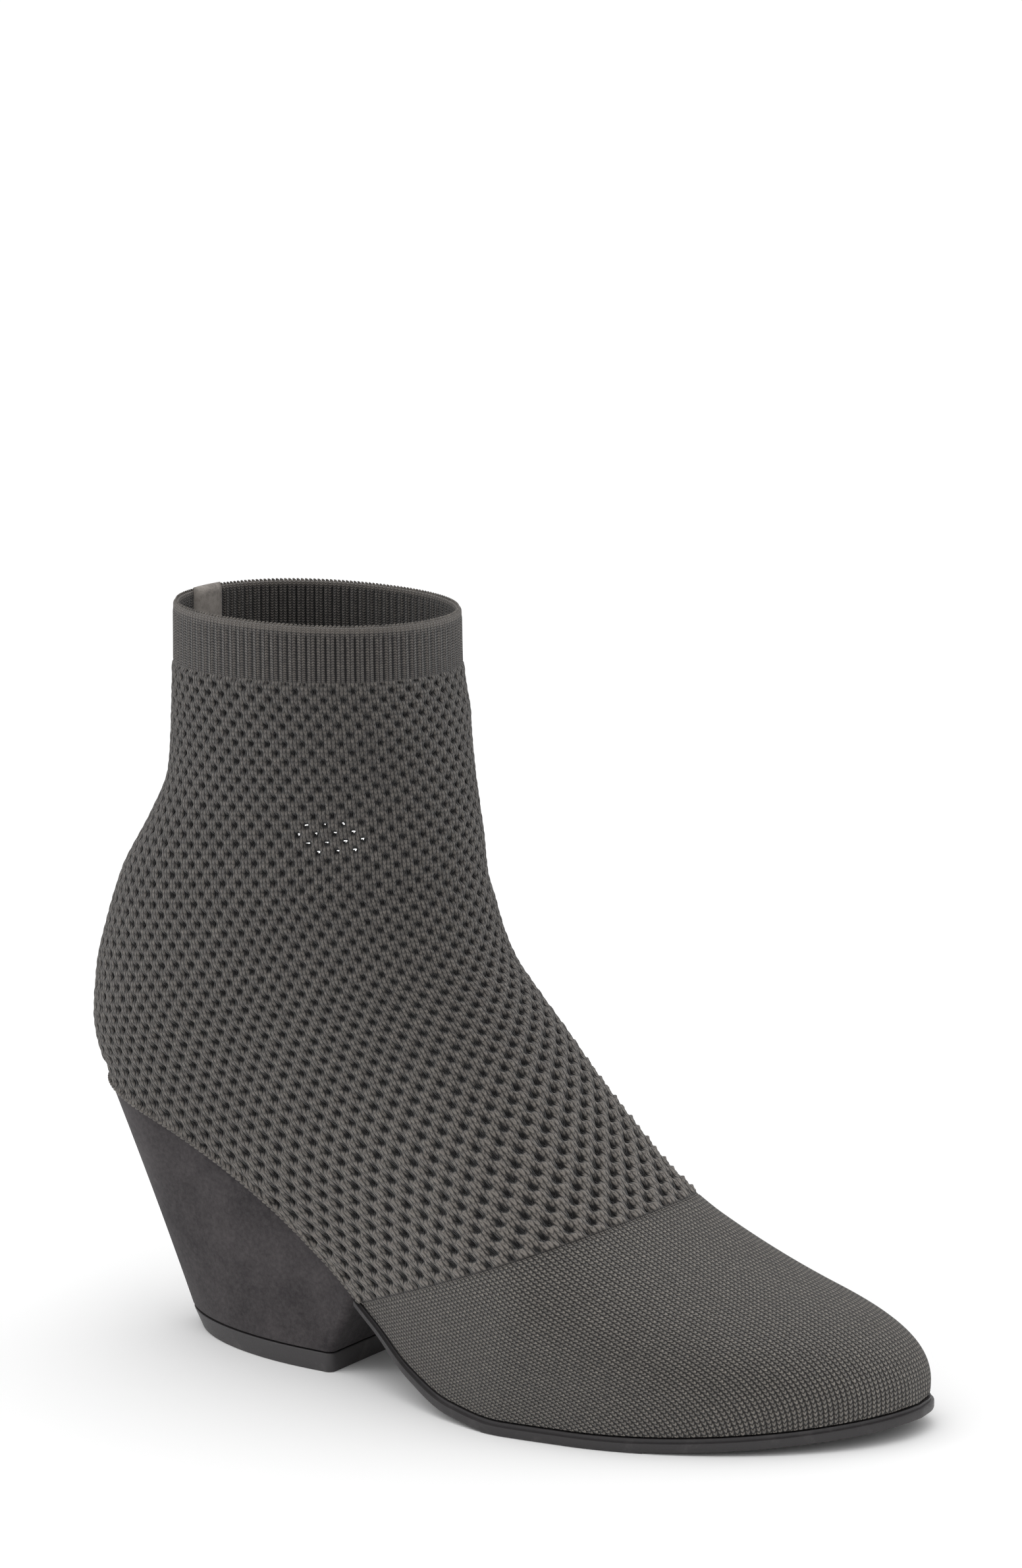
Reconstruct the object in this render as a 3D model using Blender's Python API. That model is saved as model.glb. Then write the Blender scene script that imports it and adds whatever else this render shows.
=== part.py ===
"""Knitted ankle boot on a covered block heel, right foot, toe along +X, outer side along -Y.

The last is a fan of sections. Each section lies in a plane that holds the Y direction and runs
from a back end, on the feather line under the foot or on the back of the leg, to a front end on
the ridge of the toe, instep and shin. Upper, insole, sole and heel all read the same sections.
"""

import math
from typing import NamedTuple

import bmesh
import bpy
import numpy as np
from mathutils import Matrix

# Driving sizes in metres
LAST_LENGTH = 0.2444      # back of the heel seat to the toe tip, in plan
BALL_WIDTH = 0.0823       # upper across the ball
COLLAR_WIDTH = 0.0690     # upper across the collar
COLLAR_LENGTH = 0.0787    # upper from back to front at the collar
HEEL_LIFT = 0.0666        # heel seat above the ball
SHAFT_RISE = 0.1357       # collar above the heel seat, at the back
INSTEP_RISE = 0.0705      # front line above the heel seat's back, along the section there
TOE_HEIGHT = 0.0220       # knit above the feather line behind the toe tip
TOE_SPRING = 0.0045       # toe tip above the ball
TOE_SWING = 0.0169        # toe tip inside the heel's centre line
KNIT_WALL = 0.0016        # plain knit of toe and collar
MESH_STEP = 0.0005        # how far the thicker mesh knit stands proud of the plain knit
SOLE_THICKNESS = 0.0036   # at the ball
SHANK_THICKNESS = 0.0022  # where the sole meets the heel
SOLE_LEDGE = 0.0012       # sole beyond the feather line
SOLE_GROOVE = 0.0009      # dark step between knit and sole edge
SOLE_EDGE_ROUND = 0.0006  # softened bottom edge
SOLE_ROUND_TO = 0.16      # where that rounding ends, share of the depth from the tread
SOLE_GROOVE_FROM = 0.72   # where the dark step starts, share of the depth
SOLE_GROOVE_FULL = 0.74   # and where it reaches its full size
FLAT_TOLERANCE = 0.0003   # lowest part of the tread, worn to a true flat
INSOLE_THICKNESS = 0.0026
INSOLE_ROLL = 0.0013      # rolled upper edge of the insole
INSOLE_GAP = 0.0010       # between insole and knit, whose wall leans in behind the heel
TIP_THICKNESS = 0.0053    # rubber under the heel
TIP_LENGTH = 0.0626       # tip from back to breast, where it meets the heel
TIP_RAKE = 0.0034         # how much shorter it is at the ground
TIP_WIDTH = 0.0495
TIP_BREAST_SHARE = 0.3520  # breast line of the tip, share of LAST_LENGTH from the seat's back
SEAT_BREAST_SHARE = 0.3900  # breast line of the heel under the shank
HEEL_CORNER = 0.0022      # rounding of the covered heel's front corners
HEEL_HOLLOW = 0.0003      # how far the heel's walls curve in at mid height
TAPE_WIDTH = 0.0130       # facing tape inside the back
TAPE_THICKNESS = 0.0008
TAPE_DROP = 0.0620        # tape's length down from the collar
GAP = 0.0003              # between curved pieces that meet
SEAT_GAP = 0.00045        # under the feather line, which slopes along the shank

# Shape of the sections
TOE_SECTIONS = 4.32       # section steps between ball and toe tip
TOE_OUTER_ROUND = 1.75    # exponents of the toe's plan, outer and inner side
TOE_INNER_ROUND = 2.5
TOE_TOP_ROUND = 2.6       # exponent of the toe's end in side view
TOE_TOP_START = 0.51      # where that end rounding starts, share of ball to tip
TOE_SLOPE = 1.4           # how fast the toe box loses height
SPRING_CURVE = 2.2        # how late the toe spring starts
HEEL_ROUND_FROM = 0.115   # where the heel seat's round back starts, share of LAST_LENGTH
HEEL_ROUND = 2.1
TOP_ROUND = 2.1           # superellipse exponents of a section above and below its widest point
BOTTOM_ROUND = 2.2
CLOSED_FROM = 10          # first section that closes at the back, above the heel seat
RIB_FROM = 18             # section at the lower edge of the ribbed collar
TOE_LINE_FOOT = 0.404     # where the toe knit starts, on the feather line, share of LAST_LENGTH
TOE_LINE_TOP = 0.723      # and on the ridge
LEAD_IN = 2               # toe sections that lead the table's curves in

# Mesh resolution
COLUMNS = 36
TOE_ROWS = 18
FOOT_ROWS = 16
SHAFT_ROWS = 12
RIB_ROWS = 2
TOE_ROW_EASE = 2.2        # crowds the rows towards the toe tip
EDGE_ROW = 0.0012         # width of the bevel row at a step in the wall
DENSE_STEPS = 360
DENSE_POINTS = 48
CORNER_POINTS = 4
HEEL_POINTS = 16
HEEL_LEVELS = 5
TAPE_POINTS = 5
BACK_SPREAD = 3           # columns either side of the back line that the tape may reach
TIP_STRAIGHT = 0.14       # straight part of the tip's sides, share of its length
TIP_OVAL = 1.14           # exponent of the tip's oval back
TIP_WORN_EDGE = 0.0004
SHARP_ANGLE = 40.0        # degrees between faces that shade as an edge


class Section(NamedTuple):
    """One row of the section table, in shares of the named sizes."""

    along: float         # back end, share of LAST_LENGTH from the heel seat's back
    lift: float          # its height by the heel, share of HEEL_LIFT
    up: float            # its height above the seat, share of SHAFT_RISE
    reach: float         # back end to front end, share of COLLAR_LENGTH
    rise: float          # front end above back end, share of INSTEP_RISE
    swing: float         # inward shift, share of TOE_SWING
    outer: float         # half width outward, share of the girth measure
    inner: float         # half width inward, share of the girth measure
    outer_foot: float    # feather line outward, share of that half width
    inner_foot: float    # feather line inward, share of that half width
    widest: float        # widest point, share of the way from back to front end


SECTIONS = (
    Section(0.700, 0.000, 0.000, 0.108, 0.691, 0.53, 0.634, 0.366, 0.973, 0.953, 0.30),
    Section(0.631, 0.000, 0.000, 0.161, 0.837, 0.42, 0.640, 0.360, 0.973, 0.921, 0.31),
    Section(0.558, 0.023, 0.000, 0.254, 0.986, 0.33, 0.596, 0.356, 0.962, 0.855, 0.32),
    Section(0.488, 0.096, 0.000, 0.349, 1.081, 0.25, 0.534, 0.354, 0.913, 0.754, 0.34),
    Section(0.419, 0.237, 0.000, 0.451, 1.107, 0.19, 0.469, 0.356, 0.861, 0.683, 0.37),
    Section(0.346, 0.421, 0.000, 0.575, 1.067, 0.14, 0.435, 0.368, 0.831, 0.700, 0.40),
    Section(0.269, 0.612, 0.000, 0.728, 1.013, 0.08, 0.425, 0.387, 0.836, 0.787, 0.42),
    Section(0.188, 0.774, 0.000, 0.935, 0.973, 0.06, 0.441, 0.411, 0.828, 0.825, 0.43),
    Section(0.104, 0.902, 0.000, 1.173, 0.960, 0.03, 0.460, 0.433, 0.797, 0.831, 0.43),
    Section(0.040, 0.970, 0.000, 1.354, 0.973, 0.00, 0.478, 0.448, 0.770, 0.800, 0.44),
    Section(0.000, 1.000, 0.000, 1.472, 1.000, 0.00, 0.493, 0.460, 0.760, 0.780, 0.44),
    Section(-0.017, 1.000, 0.103, 1.514, 0.893, 0.00, 0.504, 0.470, 0.000, 0.000, 0.45),
    Section(-0.012, 1.000, 0.208, 1.480, 0.787, 0.00, 0.504, 0.477, 0.000, 0.000, 0.47),
    Section(0.004, 1.000, 0.311, 1.418, 0.680, 0.00, 0.501, 0.481, 0.000, 0.000, 0.48),
    Section(0.028, 1.000, 0.423, 1.320, 0.560, 0.00, 0.499, 0.485, 0.000, 0.000, 0.49),
    Section(0.070, 1.000, 0.544, 1.170, 0.420, 0.00, 0.496, 0.490, 0.000, 0.000, 0.50),
    Section(0.099, 1.000, 0.652, 1.067, 0.293, 0.00, 0.497, 0.496, 0.000, 0.000, 0.50),
    Section(0.105, 1.000, 0.759, 1.029, 0.160, 0.00, 0.499, 0.501, 0.000, 0.000, 0.50),
    Section(0.108, 1.000, 0.880, 1.008, 0.005, 0.00, 0.499, 0.501, 0.000, 0.000, 0.50),
    Section(0.109, 1.000, 1.000, 1.000, -0.023, 0.00, 0.499, 0.501, 0.000, 0.000, 0.50),
)

FEATHER_Z = SOLE_THICKNESS + SEAT_GAP


class Measure(NamedTuple):
    """One section in metres."""

    back: tuple
    front: tuple
    ridge_y: float
    outer: float
    inner: float
    outer_foot: float
    inner_foot: float
    widest: float


def blend(start, end, share):
    """Value a share of the way from start to end."""
    return start + (end - start) * share


def row_measure(row):
    """Turn a table row into metres. Widths follow the ball in front and the collar at the heel."""
    girth = blend(BALL_WIDTH, COLLAR_WIDTH, row.lift)
    back = (row.along * LAST_LENGTH, FEATHER_Z + row.lift * HEEL_LIFT + row.up * SHAFT_RISE)
    front = (back[0] + row.reach * COLLAR_LENGTH, back[1] + row.rise * INSTEP_RISE)
    outer = row.outer * girth
    inner = row.inner * girth
    return Measure(back, front, row.swing * TOE_SWING, outer, inner,
                   outer * row.outer_foot, inner * row.inner_foot, row.widest)


def end_round(share, exponent):
    """Share of the full size that is left at a share of the way to a rounded end."""
    return max(0.0, 1.0 - share ** exponent) ** (1.0 / exponent)


def toe_measure(share):
    """Section of the toe, at a share of the way from the ball, 0, to the tip, 1."""
    ball = row_measure(SECTIONS[0])
    x = blend(ball.back[0], LAST_LENGTH, share)
    z = FEATHER_Z + TOE_SPRING * share ** SPRING_CURVE
    ball_height = ball.front[1] - ball.back[1]
    height = TOE_HEIGHT + (ball_height - TOE_HEIGHT) * (1.0 - share) ** TOE_SLOPE
    top_share = max(0.0, share - TOE_TOP_START) / (1.0 - TOE_TOP_START)
    height *= end_round(top_share, TOE_TOP_ROUND)
    lean = (ball.front[0] - ball.back[0]) * (1.0 - share) ** TOE_SLOPE
    outer = end_round(share, TOE_OUTER_ROUND)
    inner = end_round(share, TOE_INNER_ROUND)
    swing = blend(ball.ridge_y, TOE_SWING, share)
    return Measure((x, z), (x + lean, z + height), swing, ball.outer * outer, ball.inner * inner,
                   ball.outer_foot * outer, ball.inner_foot * inner, ball.widest)


def flat_row(measure):
    """A measure as one row of numbers."""
    return [*measure.back, *measure.front, *measure[2:]]


def section_curves():
    """Curves through the table that never overshoot it, led in by a few toe sections."""
    knots = [flat_row(toe_measure(k / TOE_SECTIONS)) for k in range(LEAD_IN, 0, -1)]
    knots += [flat_row(row_measure(row)) for row in SECTIONS]
    values = np.array(knots)
    change = np.diff(values, axis=0)
    before, after = change[:-1], change[1:]
    turns = before * after <= 0.0
    total = np.where(turns, 1.0, before + after)
    slopes = np.vstack([change[:1], np.where(turns, 0.0, 2 * before * after / total), change[-1:]])
    return values, slopes


CURVES = section_curves()
LAST_SECTION = len(SECTIONS) - 1


def measure_at(step):
    """Section at any step: 0 at the ball, negative in the toe, LAST_SECTION at the collar."""
    if step < 0.0:
        return toe_measure(min(1.0, -step / TOE_SECTIONS))
    values, slopes = CURVES
    place = min(step, LAST_SECTION) + LEAD_IN
    low = min(int(place), len(values) - 2)
    t = place - low
    row = (values[low] * (1 + 2 * t) * (1 - t) ** 2 + slopes[low] * t * (1 - t) ** 2
           + values[low + 1] * t * t * (3 - 2 * t) + slopes[low + 1] * t * t * (t - 1))
    round_from = HEEL_ROUND_FROM * LAST_LENGTH
    behind = min(1.0, max(0.0, 1.0 - row[0] / round_from))
    closing = end_round(behind, HEEL_ROUND) if step < CLOSED_FROM else 0.0
    return Measure((row[0], row[1]), (row[2], row[3]), row[4], row[5], row[6],
                   row[7] * closing, row[8] * closing, row[9])


def half_curve(measure, width, foot, side):
    """Points from the ridge down one side to the feather line or the back."""
    share = min(1.0, foot / width) if width > 0.0 else 0.0
    last = math.pi - math.asin(share ** (BOTTOM_ROUND / 2))
    angle = np.linspace(0.0, last, DENSE_POINTS)
    over = angle <= math.pi / 2
    power = np.where(over, 2.0 / TOP_ROUND, 2.0 / BOTTOM_ROUND)
    cosine = np.abs(np.cos(angle)) ** power
    floor = abs(math.cos(last)) ** (2.0 / BOTTOM_ROUND)
    height = np.where(over, measure.widest + (1.0 - measure.widest) * cosine,
                      measure.widest * (1.0 - cosine / max(floor, 1e-6)))
    y = measure.ridge_y + side * width * np.abs(np.sin(angle)) ** power
    x = blend(measure.back[0], measure.front[0], height)
    z = blend(measure.back[1], measure.front[1], height)
    return np.stack([x, y, z], axis=1)


def even_points(curve, count):
    """Resample a curve to count + 1 points, evenly spaced along its length."""
    steps = np.linalg.norm(np.diff(curve, axis=0), axis=1)
    length = np.concatenate([[0.0], np.cumsum(steps)])
    if length[-1] < 1e-9:
        return np.repeat(curve[:1], count + 1, axis=0)
    wanted = np.linspace(0.0, length[-1], count + 1)
    return np.stack([np.interp(wanted, length, curve[:, k]) for k in range(3)], axis=1)


def section_points(step, columns):
    """One section as columns + 1 points, outer feather line over the ridge to the inner one."""
    measure = measure_at(step)
    outer = half_curve(measure, measure.outer, measure.outer_foot, -1.0)
    inner = half_curve(measure, measure.inner, measure.inner_foot, 1.0)
    half = columns // 2
    return np.concatenate([even_points(outer, half)[::-1], even_points(inner, half)[1:]])


def front_point(along):
    """Point of the ridge at a share of LAST_LENGTH."""
    steps = np.linspace(-TOE_SECTIONS, CLOSED_FROM, DENSE_STEPS)
    fronts = np.array([measure_at(step).front for step in steps])
    place = int(np.argmax(fronts[:, 0] < along * LAST_LENGTH))
    return fronts[place]


def feather_step(along):
    """Section step whose feather line lies at a share of LAST_LENGTH."""
    steps = np.linspace(-TOE_SECTIONS, CLOSED_FROM, DENSE_STEPS)
    backs = np.array([measure_at(step).back[0] for step in steps])
    return float(np.interp(-along * LAST_LENGTH, -backs, steps))


def toe_line_steps(steps, dense):
    """For each column, the step where it crosses the slanting line between toe and mesh knit."""
    foot = measure_at(feather_step(TOE_LINE_FOOT)).back
    top = front_point(TOE_LINE_TOP)
    side = ((dense[:, :, 0] - foot[0]) * (top[1] - foot[1])
            - (dense[:, :, 2] - foot[1]) * (top[0] - foot[0]))
    found = []
    for column in range(dense.shape[1]):
        low = int(np.argmax(side[:, column] <= 0.0))
        share = side[low - 1, column] / (side[low - 1, column] - side[low, column])
        found.append(blend(steps[low - 1], steps[low], share))
    return np.array(found)


def upper_rows(columns):
    """Rows of the upper as section steps for each column, with the rows at each step in the wall.

    Returns the steps, and for each row its height above the plain knit as a share of MESH_STEP.
    """
    steps = np.linspace(-TOE_SECTIONS, LAST_SECTION, DENSE_STEPS)
    dense = np.array([section_points(step, columns) for step in steps])
    toe_line = toe_line_steps(steps, dense)
    per_step = SHAFT_RISE / (LAST_SECTION - CLOSED_FROM)
    edge = EDGE_ROW / per_step
    rows = []
    proud = []
    for share in np.linspace(0.0, 1.0, TOE_ROWS + 1):
        rows.append(blend(-TOE_SECTIONS, toe_line, share ** TOE_ROW_EASE))
        proud.append(0.0)
    for share in np.linspace(0.0, 1.0, FOOT_ROWS + 1):
        rows.append(blend(toe_line + edge, float(CLOSED_FROM), share))
        proud.append(1.0)
    for share in np.linspace(0.0, 1.0, SHAFT_ROWS + 1)[1:]:
        rows.append(np.full(columns + 1, blend(CLOSED_FROM, RIB_FROM - edge, share)))
        proud.append(1.0)
    for share in np.linspace(0.0, 1.0, RIB_ROWS + 1):
        rows.append(np.full(columns + 1, blend(RIB_FROM, LAST_SECTION, share)))
        proud.append(0.0)
    grid_steps = np.array(rows)
    grid = np.empty(grid_steps.shape + (3,))
    for column in range(columns + 1):
        for axis in range(3):
            grid[:, column, axis] = np.interp(grid_steps[:, column], steps, dense[:, column, axis])
    return grid, np.array(proud)


def grid_index(rows, columns, closed_row):
    """Vertex number of each grid place: the toe row is one point, closed rows share a back point."""
    index = np.arange(rows * (columns + 1)).reshape(rows, columns + 1)
    index[0, :] = index[0, 0]
    index[closed_row:, columns] = index[closed_row:, 0]
    return index


def quads_of(index, flip=False):
    """Faces between neighbouring rows, as triangles where a side has shrunk to a point."""
    faces = []
    for low, high in zip(index[:-1], index[1:]):
        for k in range(len(low) - 1):
            corners = [low[k], high[k], high[k + 1], low[k + 1]]
            corners = list(dict.fromkeys(int(c) for c in corners))
            if len(corners) > 2:
                faces.append(corners[::-1] if flip else corners)
    return faces


def vertex_normals(points, faces):
    """Area-weighted normal at each point, from the faces around it."""
    normals = np.zeros_like(points)
    for face in faces:
        corners = points[face]
        normal = np.cross(corners[1] - corners[0], corners[2] - corners[0])
        if len(face) == 4:
            normal = np.cross(corners[2] - corners[0], corners[3] - corners[1])
        for corner in face:
            normals[corner] += normal
    length = np.linalg.norm(normals, axis=1, keepdims=True)
    return normals / np.maximum(length, 1e-12)


def body_from(name, points, faces, collection, material):
    """A closed mesh object: unused points dropped, doubles merged, faces turned outward."""
    mesh = bpy.data.meshes.new(name)
    mesh.from_pydata([tuple(p) for p in points], [], faces)
    work = bmesh.new()
    work.from_mesh(mesh)
    bmesh.ops.remove_doubles(work, verts=work.verts, dist=1e-6)
    loose = [v for v in work.verts if not v.link_faces]
    bmesh.ops.delete(work, geom=loose, context="VERTS")
    bmesh.ops.triangulate(work, faces=work.faces)
    bmesh.ops.recalc_face_normals(work, faces=work.faces)
    work.to_mesh(mesh)
    work.free()
    mesh.shade_smooth()
    mesh.set_sharp_from_angle(angle=math.radians(SHARP_ANGLE))
    mesh.materials.append(material)
    part = bpy.data.objects.new(name, mesh)
    collection.objects.link(part)
    return part


def make_material(name, colour, roughness):
    """A plain Principled material."""
    material = bpy.data.materials.new(name)
    material.use_nodes = True
    shader = material.node_tree.nodes["Principled BSDF"]
    shader.inputs["Base Color"].default_value = (*colour, 1.0)
    shader.inputs["Roughness"].default_value = roughness
    shader.inputs["Metallic"].default_value = 0.0
    return material


class UpperShell:
    """Outer and inner walls of the knit, on one grid."""

    def __init__(self):
        self.grid, self.proud = upper_rows(COLUMNS)
        rows = len(self.grid)
        self.closed_row = TOE_ROWS + 1 + FOOT_ROWS
        self.index = grid_index(rows, COLUMNS, self.closed_row)
        flat = self.grid.reshape(-1, 3)
        normals = vertex_normals(flat, quads_of(self.index, flip=True))
        normals = normals[self.index]
        for row in range(self.closed_row + 1):
            for column in (0, COLUMNS):
                self.level(normals, row, column)
        normals[0, :] = (1.0, 0.0, 0.0)
        self.outer = self.grid + normals * (self.proud * MESH_STEP)[:, None, None]
        self.inner = self.grid - normals * KNIT_WALL
        self.normals = normals

    @staticmethod
    def level(normals, row, column):
        """Keep an offset at the feather line in the plane of that line."""
        flat = normals[row, column].copy()
        flat[2] = 0.0
        normals[row, column] = flat / max(np.linalg.norm(flat), 1e-9)

    def build(self, collection, material):
        """The upper as one hollow solid, open at the collar and underneath."""
        count = self.grid.shape[0] * self.grid.shape[1]
        outer_faces = quads_of(self.index)
        inner_faces = quads_of(self.index + count, flip=True)
        edge = self.index[:self.closed_row + 1]
        rim_faces = []
        for column in (0, COLUMNS):
            rim_faces += quads_of(np.stack([edge[:, column], edge[:, column] + count], axis=0))
        top = self.index[-1]
        rim_faces += quads_of(np.stack([top, top + count], axis=0))
        points = np.concatenate([self.outer.reshape(-1, 3), self.inner.reshape(-1, 3)])
        return body_from("upper", points, outer_faces + inner_faces + rim_faces,
                         collection, material)


def shifted(outline, distance):
    """Move an open outline sideways, outward where distance is positive, walking toe to heel."""
    tangent = np.gradient(outline, axis=0)
    tangent /= np.maximum(np.linalg.norm(tangent, axis=1, keepdims=True), 1e-12)
    return np.stack([tangent[:, 1], -tangent[:, 0]], axis=1) * distance


def offset_pair(outer, inner, distance):
    """Both sides of a plan moved outward by a distance, the ends kept on the plan's own line."""
    loop = np.concatenate([outer[::-1], inner])
    same = np.linalg.norm(np.diff(loop, axis=0), axis=1) > 1e-7
    keep = np.concatenate([[True], same])
    thin = loop[keep]
    moved_thin = thin + shifted(thin, distance)
    moved = np.empty_like(loop)
    moved[keep] = moved_thin
    for k in range(1, len(loop)):
        if not keep[k]:
            moved[k] = moved[k - 1]
    half = len(outer)
    return moved[:half][::-1], moved[half:]


def ladder(pair, heights):
    """Points of one level: outer side then inner side, with a height for each."""
    outer, inner = pair
    plan = np.concatenate([outer, inner[::-1]])
    return np.column_stack([plan, heights(plan[:, 0])])


def stacked_body(name, levels, collection, material):
    """A solid between stacked plan levels: side walls, and caps laid as rungs across the plan."""
    points = np.concatenate(levels)
    width = len(levels[0])
    faces = []
    for level in range(len(levels) - 1):
        for k in range(width):
            low = level * width + k
            right = level * width + (k + 1) % width
            faces.append([low, right, right + width, low + width])
    for base in (0, (len(levels) - 1) * width):
        for k in range(width // 2 - 1):
            faces.append([base + k, base + k + 1, base + width - 2 - k, base + width - 1 - k])
    return body_from(name, points, faces, collection, material)


class Feather:
    """The line where knit, insole, sole and heel meet, read from the upper's own rows."""

    def __init__(self, shell):
        rows = slice(0, shell.closed_row + 1)
        self.outer = shell.grid[rows, 0, :2]
        self.inner = shell.grid[rows, COLUMNS, :2]
        self.heights = shell.grid[rows, 0, 2]
        self.inside = (shell.inner[rows, 0, :2], shell.inner[rows, COLUMNS, :2])

    def height(self, x):
        """Height of the line above the ground at any x."""
        return np.interp(x, self.outer[::-1, 0], self.heights[::-1])

    def part_before(self, x):
        """Both sides from the toe tip to a line across the foot."""
        sides = []
        for side in (self.outer, self.inner):
            y = np.interp(x, side[::-1, 0], side[::-1, 1])
            sides.append(np.vstack([side[side[:, 0] > x], [x, y]]))
        return sides

    def part_behind(self, x):
        """Both sides from a line across the foot to the back of the heel."""
        sides = []
        for side in (self.outer, self.inner):
            y = np.interp(x, side[::-1, 0], side[::-1, 1])
            sides.append(np.vstack([[x, y], side[side[:, 0] < x]]))
        return sides

    def before(self, x, distance):
        """The front part moved outward by a distance, its rear ends kept on the line across."""
        pair = offset_pair(*self.part_before(x), distance)
        for side in pair:
            side[-1, 0] = x
        return pair


def build_insole(feather, collection, material):
    """Padded insole that closes the upper underneath."""
    levels = []
    for rise, inset in ((0.0, 0.0), (INSOLE_ROLL, 0.0), (INSOLE_THICKNESS, INSOLE_ROLL)):
        pair = offset_pair(*feather.inside, -INSOLE_GAP - inset)
        levels.append(ladder(pair, lambda x, rise=rise: feather.height(x) + rise))
    return stacked_body("insole", levels, collection, material)


def sole_depth(x):
    """Sole thickness at any x: full under the ball and toe, thin at the shank."""
    full_from = SECTIONS[2].along * LAST_LENGTH
    breast = SEAT_BREAST_SHARE * LAST_LENGTH
    share = np.clip((x - breast) / (full_from - breast), 0.0, 1.0)
    return blend(SHANK_THICKNESS, SOLE_THICKNESS, share * share * (3 - 2 * share))


def build_outsole(feather, collection, material):
    """Thin sole from the toe tip to the heel breast, with a dark step under the knit."""
    end = SEAT_BREAST_SHARE * LAST_LENGTH + 2 * GAP
    ledge = feather.before(end, SOLE_LEDGE)
    groove = feather.before(end, SOLE_LEDGE - SOLE_GROOVE)
    under = feather.before(end, SOLE_LEDGE - SOLE_EDGE_ROUND)

    def between(share):
        """Height at a share of the way from the tread, worn flat where it is lowest, to the top."""
        def height(x):
            top = feather.height(x) - SEAT_GAP
            low = top - sole_depth(x)
            return blend(np.where(low < FLAT_TOLERANCE, 0.0, low), top, share)
        return height

    levels = [ladder(under, between(0.0)), ladder(ledge, between(SOLE_ROUND_TO)),
              ladder(ledge, between(SOLE_GROOVE_FROM)),
              ladder(groove, between(SOLE_GROOVE_FULL)),
              ladder(groove, between(1.0))]
    return stacked_body("outsole", levels, collection, material)


def even_plan(curve, count):
    """Resample a plan line to count points, evenly spaced."""
    travel = np.linalg.norm(np.diff(curve, axis=0), axis=1)
    length = np.concatenate([[0.0], np.cumsum(travel)])
    wanted = np.linspace(0.0, length[-1], count)
    return np.stack([np.interp(wanted, length, curve[:, k]) for k in range(2)], axis=1)


def heel_side(side, sign):
    """One side of a heel plan from its breast to its back, with the front corner rounded."""
    breast_x = side[0, 0]
    arc_end = breast_x - HEEL_CORNER
    order = side[::-1]
    edge_y = float(np.interp(arc_end, order[:, 0], order[:, 1]))
    arc = []
    for angle in np.linspace(0.0, math.pi / 2, CORNER_POINTS):
        arc.append([breast_x - HEEL_CORNER * (1 - math.cos(angle)),
                    edge_y - sign * HEEL_CORNER * (1 - math.sin(angle))])
    behind = np.vstack([arc[-1], side[side[:, 0] < arc_end]])
    return np.vstack([arc[:-1], even_plan(behind, HEEL_POINTS)])


def seat_plan(feather):
    """Heel plan under the upper: the feather line behind the breast."""
    outer, inner = feather.part_behind(SEAT_BREAST_SHARE * LAST_LENGTH)
    return heel_side(outer, -1.0), heel_side(inner, 1.0)


def tip_plan(length):
    """Heel plan at the rubber tip: straight sides that close in an oval at the back."""
    breast_x = TIP_BREAST_SHARE * LAST_LENGTH
    straight = TIP_STRAIGHT * length
    sides = []
    for sign in (-1.0, 1.0):
        angle = np.linspace(0.0, math.pi / 2, DENSE_POINTS)
        x = breast_x - straight - (length - straight) * np.sin(angle)
        y = sign * TIP_WIDTH / 2 * np.cos(angle) ** TIP_OVAL
        side = np.vstack([[breast_x, sign * TIP_WIDTH / 2], np.column_stack([x, y])])
        sides.append(heel_side(side, sign))
    return sides


def hollowed(plan, depth):
    """Pull the walls of a heel plan in, but leave its breast where it is."""
    outer, inner = offset_pair(*plan, -depth)
    for moved, side in ((outer, plan[0]), (inner, plan[1])):
        moved[:CORNER_POINTS, 0] = side[:CORNER_POINTS, 0]
    return outer, inner


def build_heel_block(feather, collection, material):
    """Covered heel: lofted from the tip up to the seat, its top shaped to the feather line."""
    top = seat_plan(feather)
    bottom = tip_plan(TIP_LENGTH)
    top_z = [feather.height(side[:, 0]) - SEAT_GAP for side in top]
    low_z = TIP_THICKNESS + GAP
    levels = []
    for share in np.linspace(0.0, 1.0, HEEL_LEVELS):
        plan = [blend(low, high, share) for low, high in zip(bottom, top)]
        outer, inner = hollowed(plan, HEEL_HOLLOW * 4 * share * (1 - share))
        heights = np.concatenate([top_z[0], top_z[1][::-1]])
        heights = blend(low_z, heights, share)
        levels.append(np.column_stack([np.concatenate([outer, inner[::-1]]), heights]))
    return stacked_body("heel_block", levels, collection, material)


def build_heel_tip(collection, material):
    """Rubber tip, raked at the back like the heel, its lower edge a little worn."""
    levels = []
    for height, inset in ((0.0, TIP_WORN_EDGE), (TIP_WORN_EDGE, 0.0), (TIP_THICKNESS, 0.0)):
        length = TIP_LENGTH - TIP_RAKE * (1.0 - height / TIP_THICKNESS)
        outer, inner = offset_pair(*tip_plan(length), -inset)
        loop = np.concatenate([outer, inner[::-1]])
        levels.append(np.column_stack([loop, np.full(len(loop), height)]))
    return stacked_body("heel_tip", levels, collection, material)


def around_back(shell, row):
    """Inner wall of a closed row either side of the back line, with normals and arc length."""
    order = list(range(-BACK_SPREAD, BACK_SPREAD + 1))
    columns = [k % COLUMNS for k in order]
    points = shell.inner[row, columns]
    normals = shell.normals[row, columns]
    travel = np.linalg.norm(np.diff(points, axis=0), axis=1)
    length = np.concatenate([[0.0], np.cumsum(travel)])
    return points, normals, length - length[BACK_SPREAD]


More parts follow.
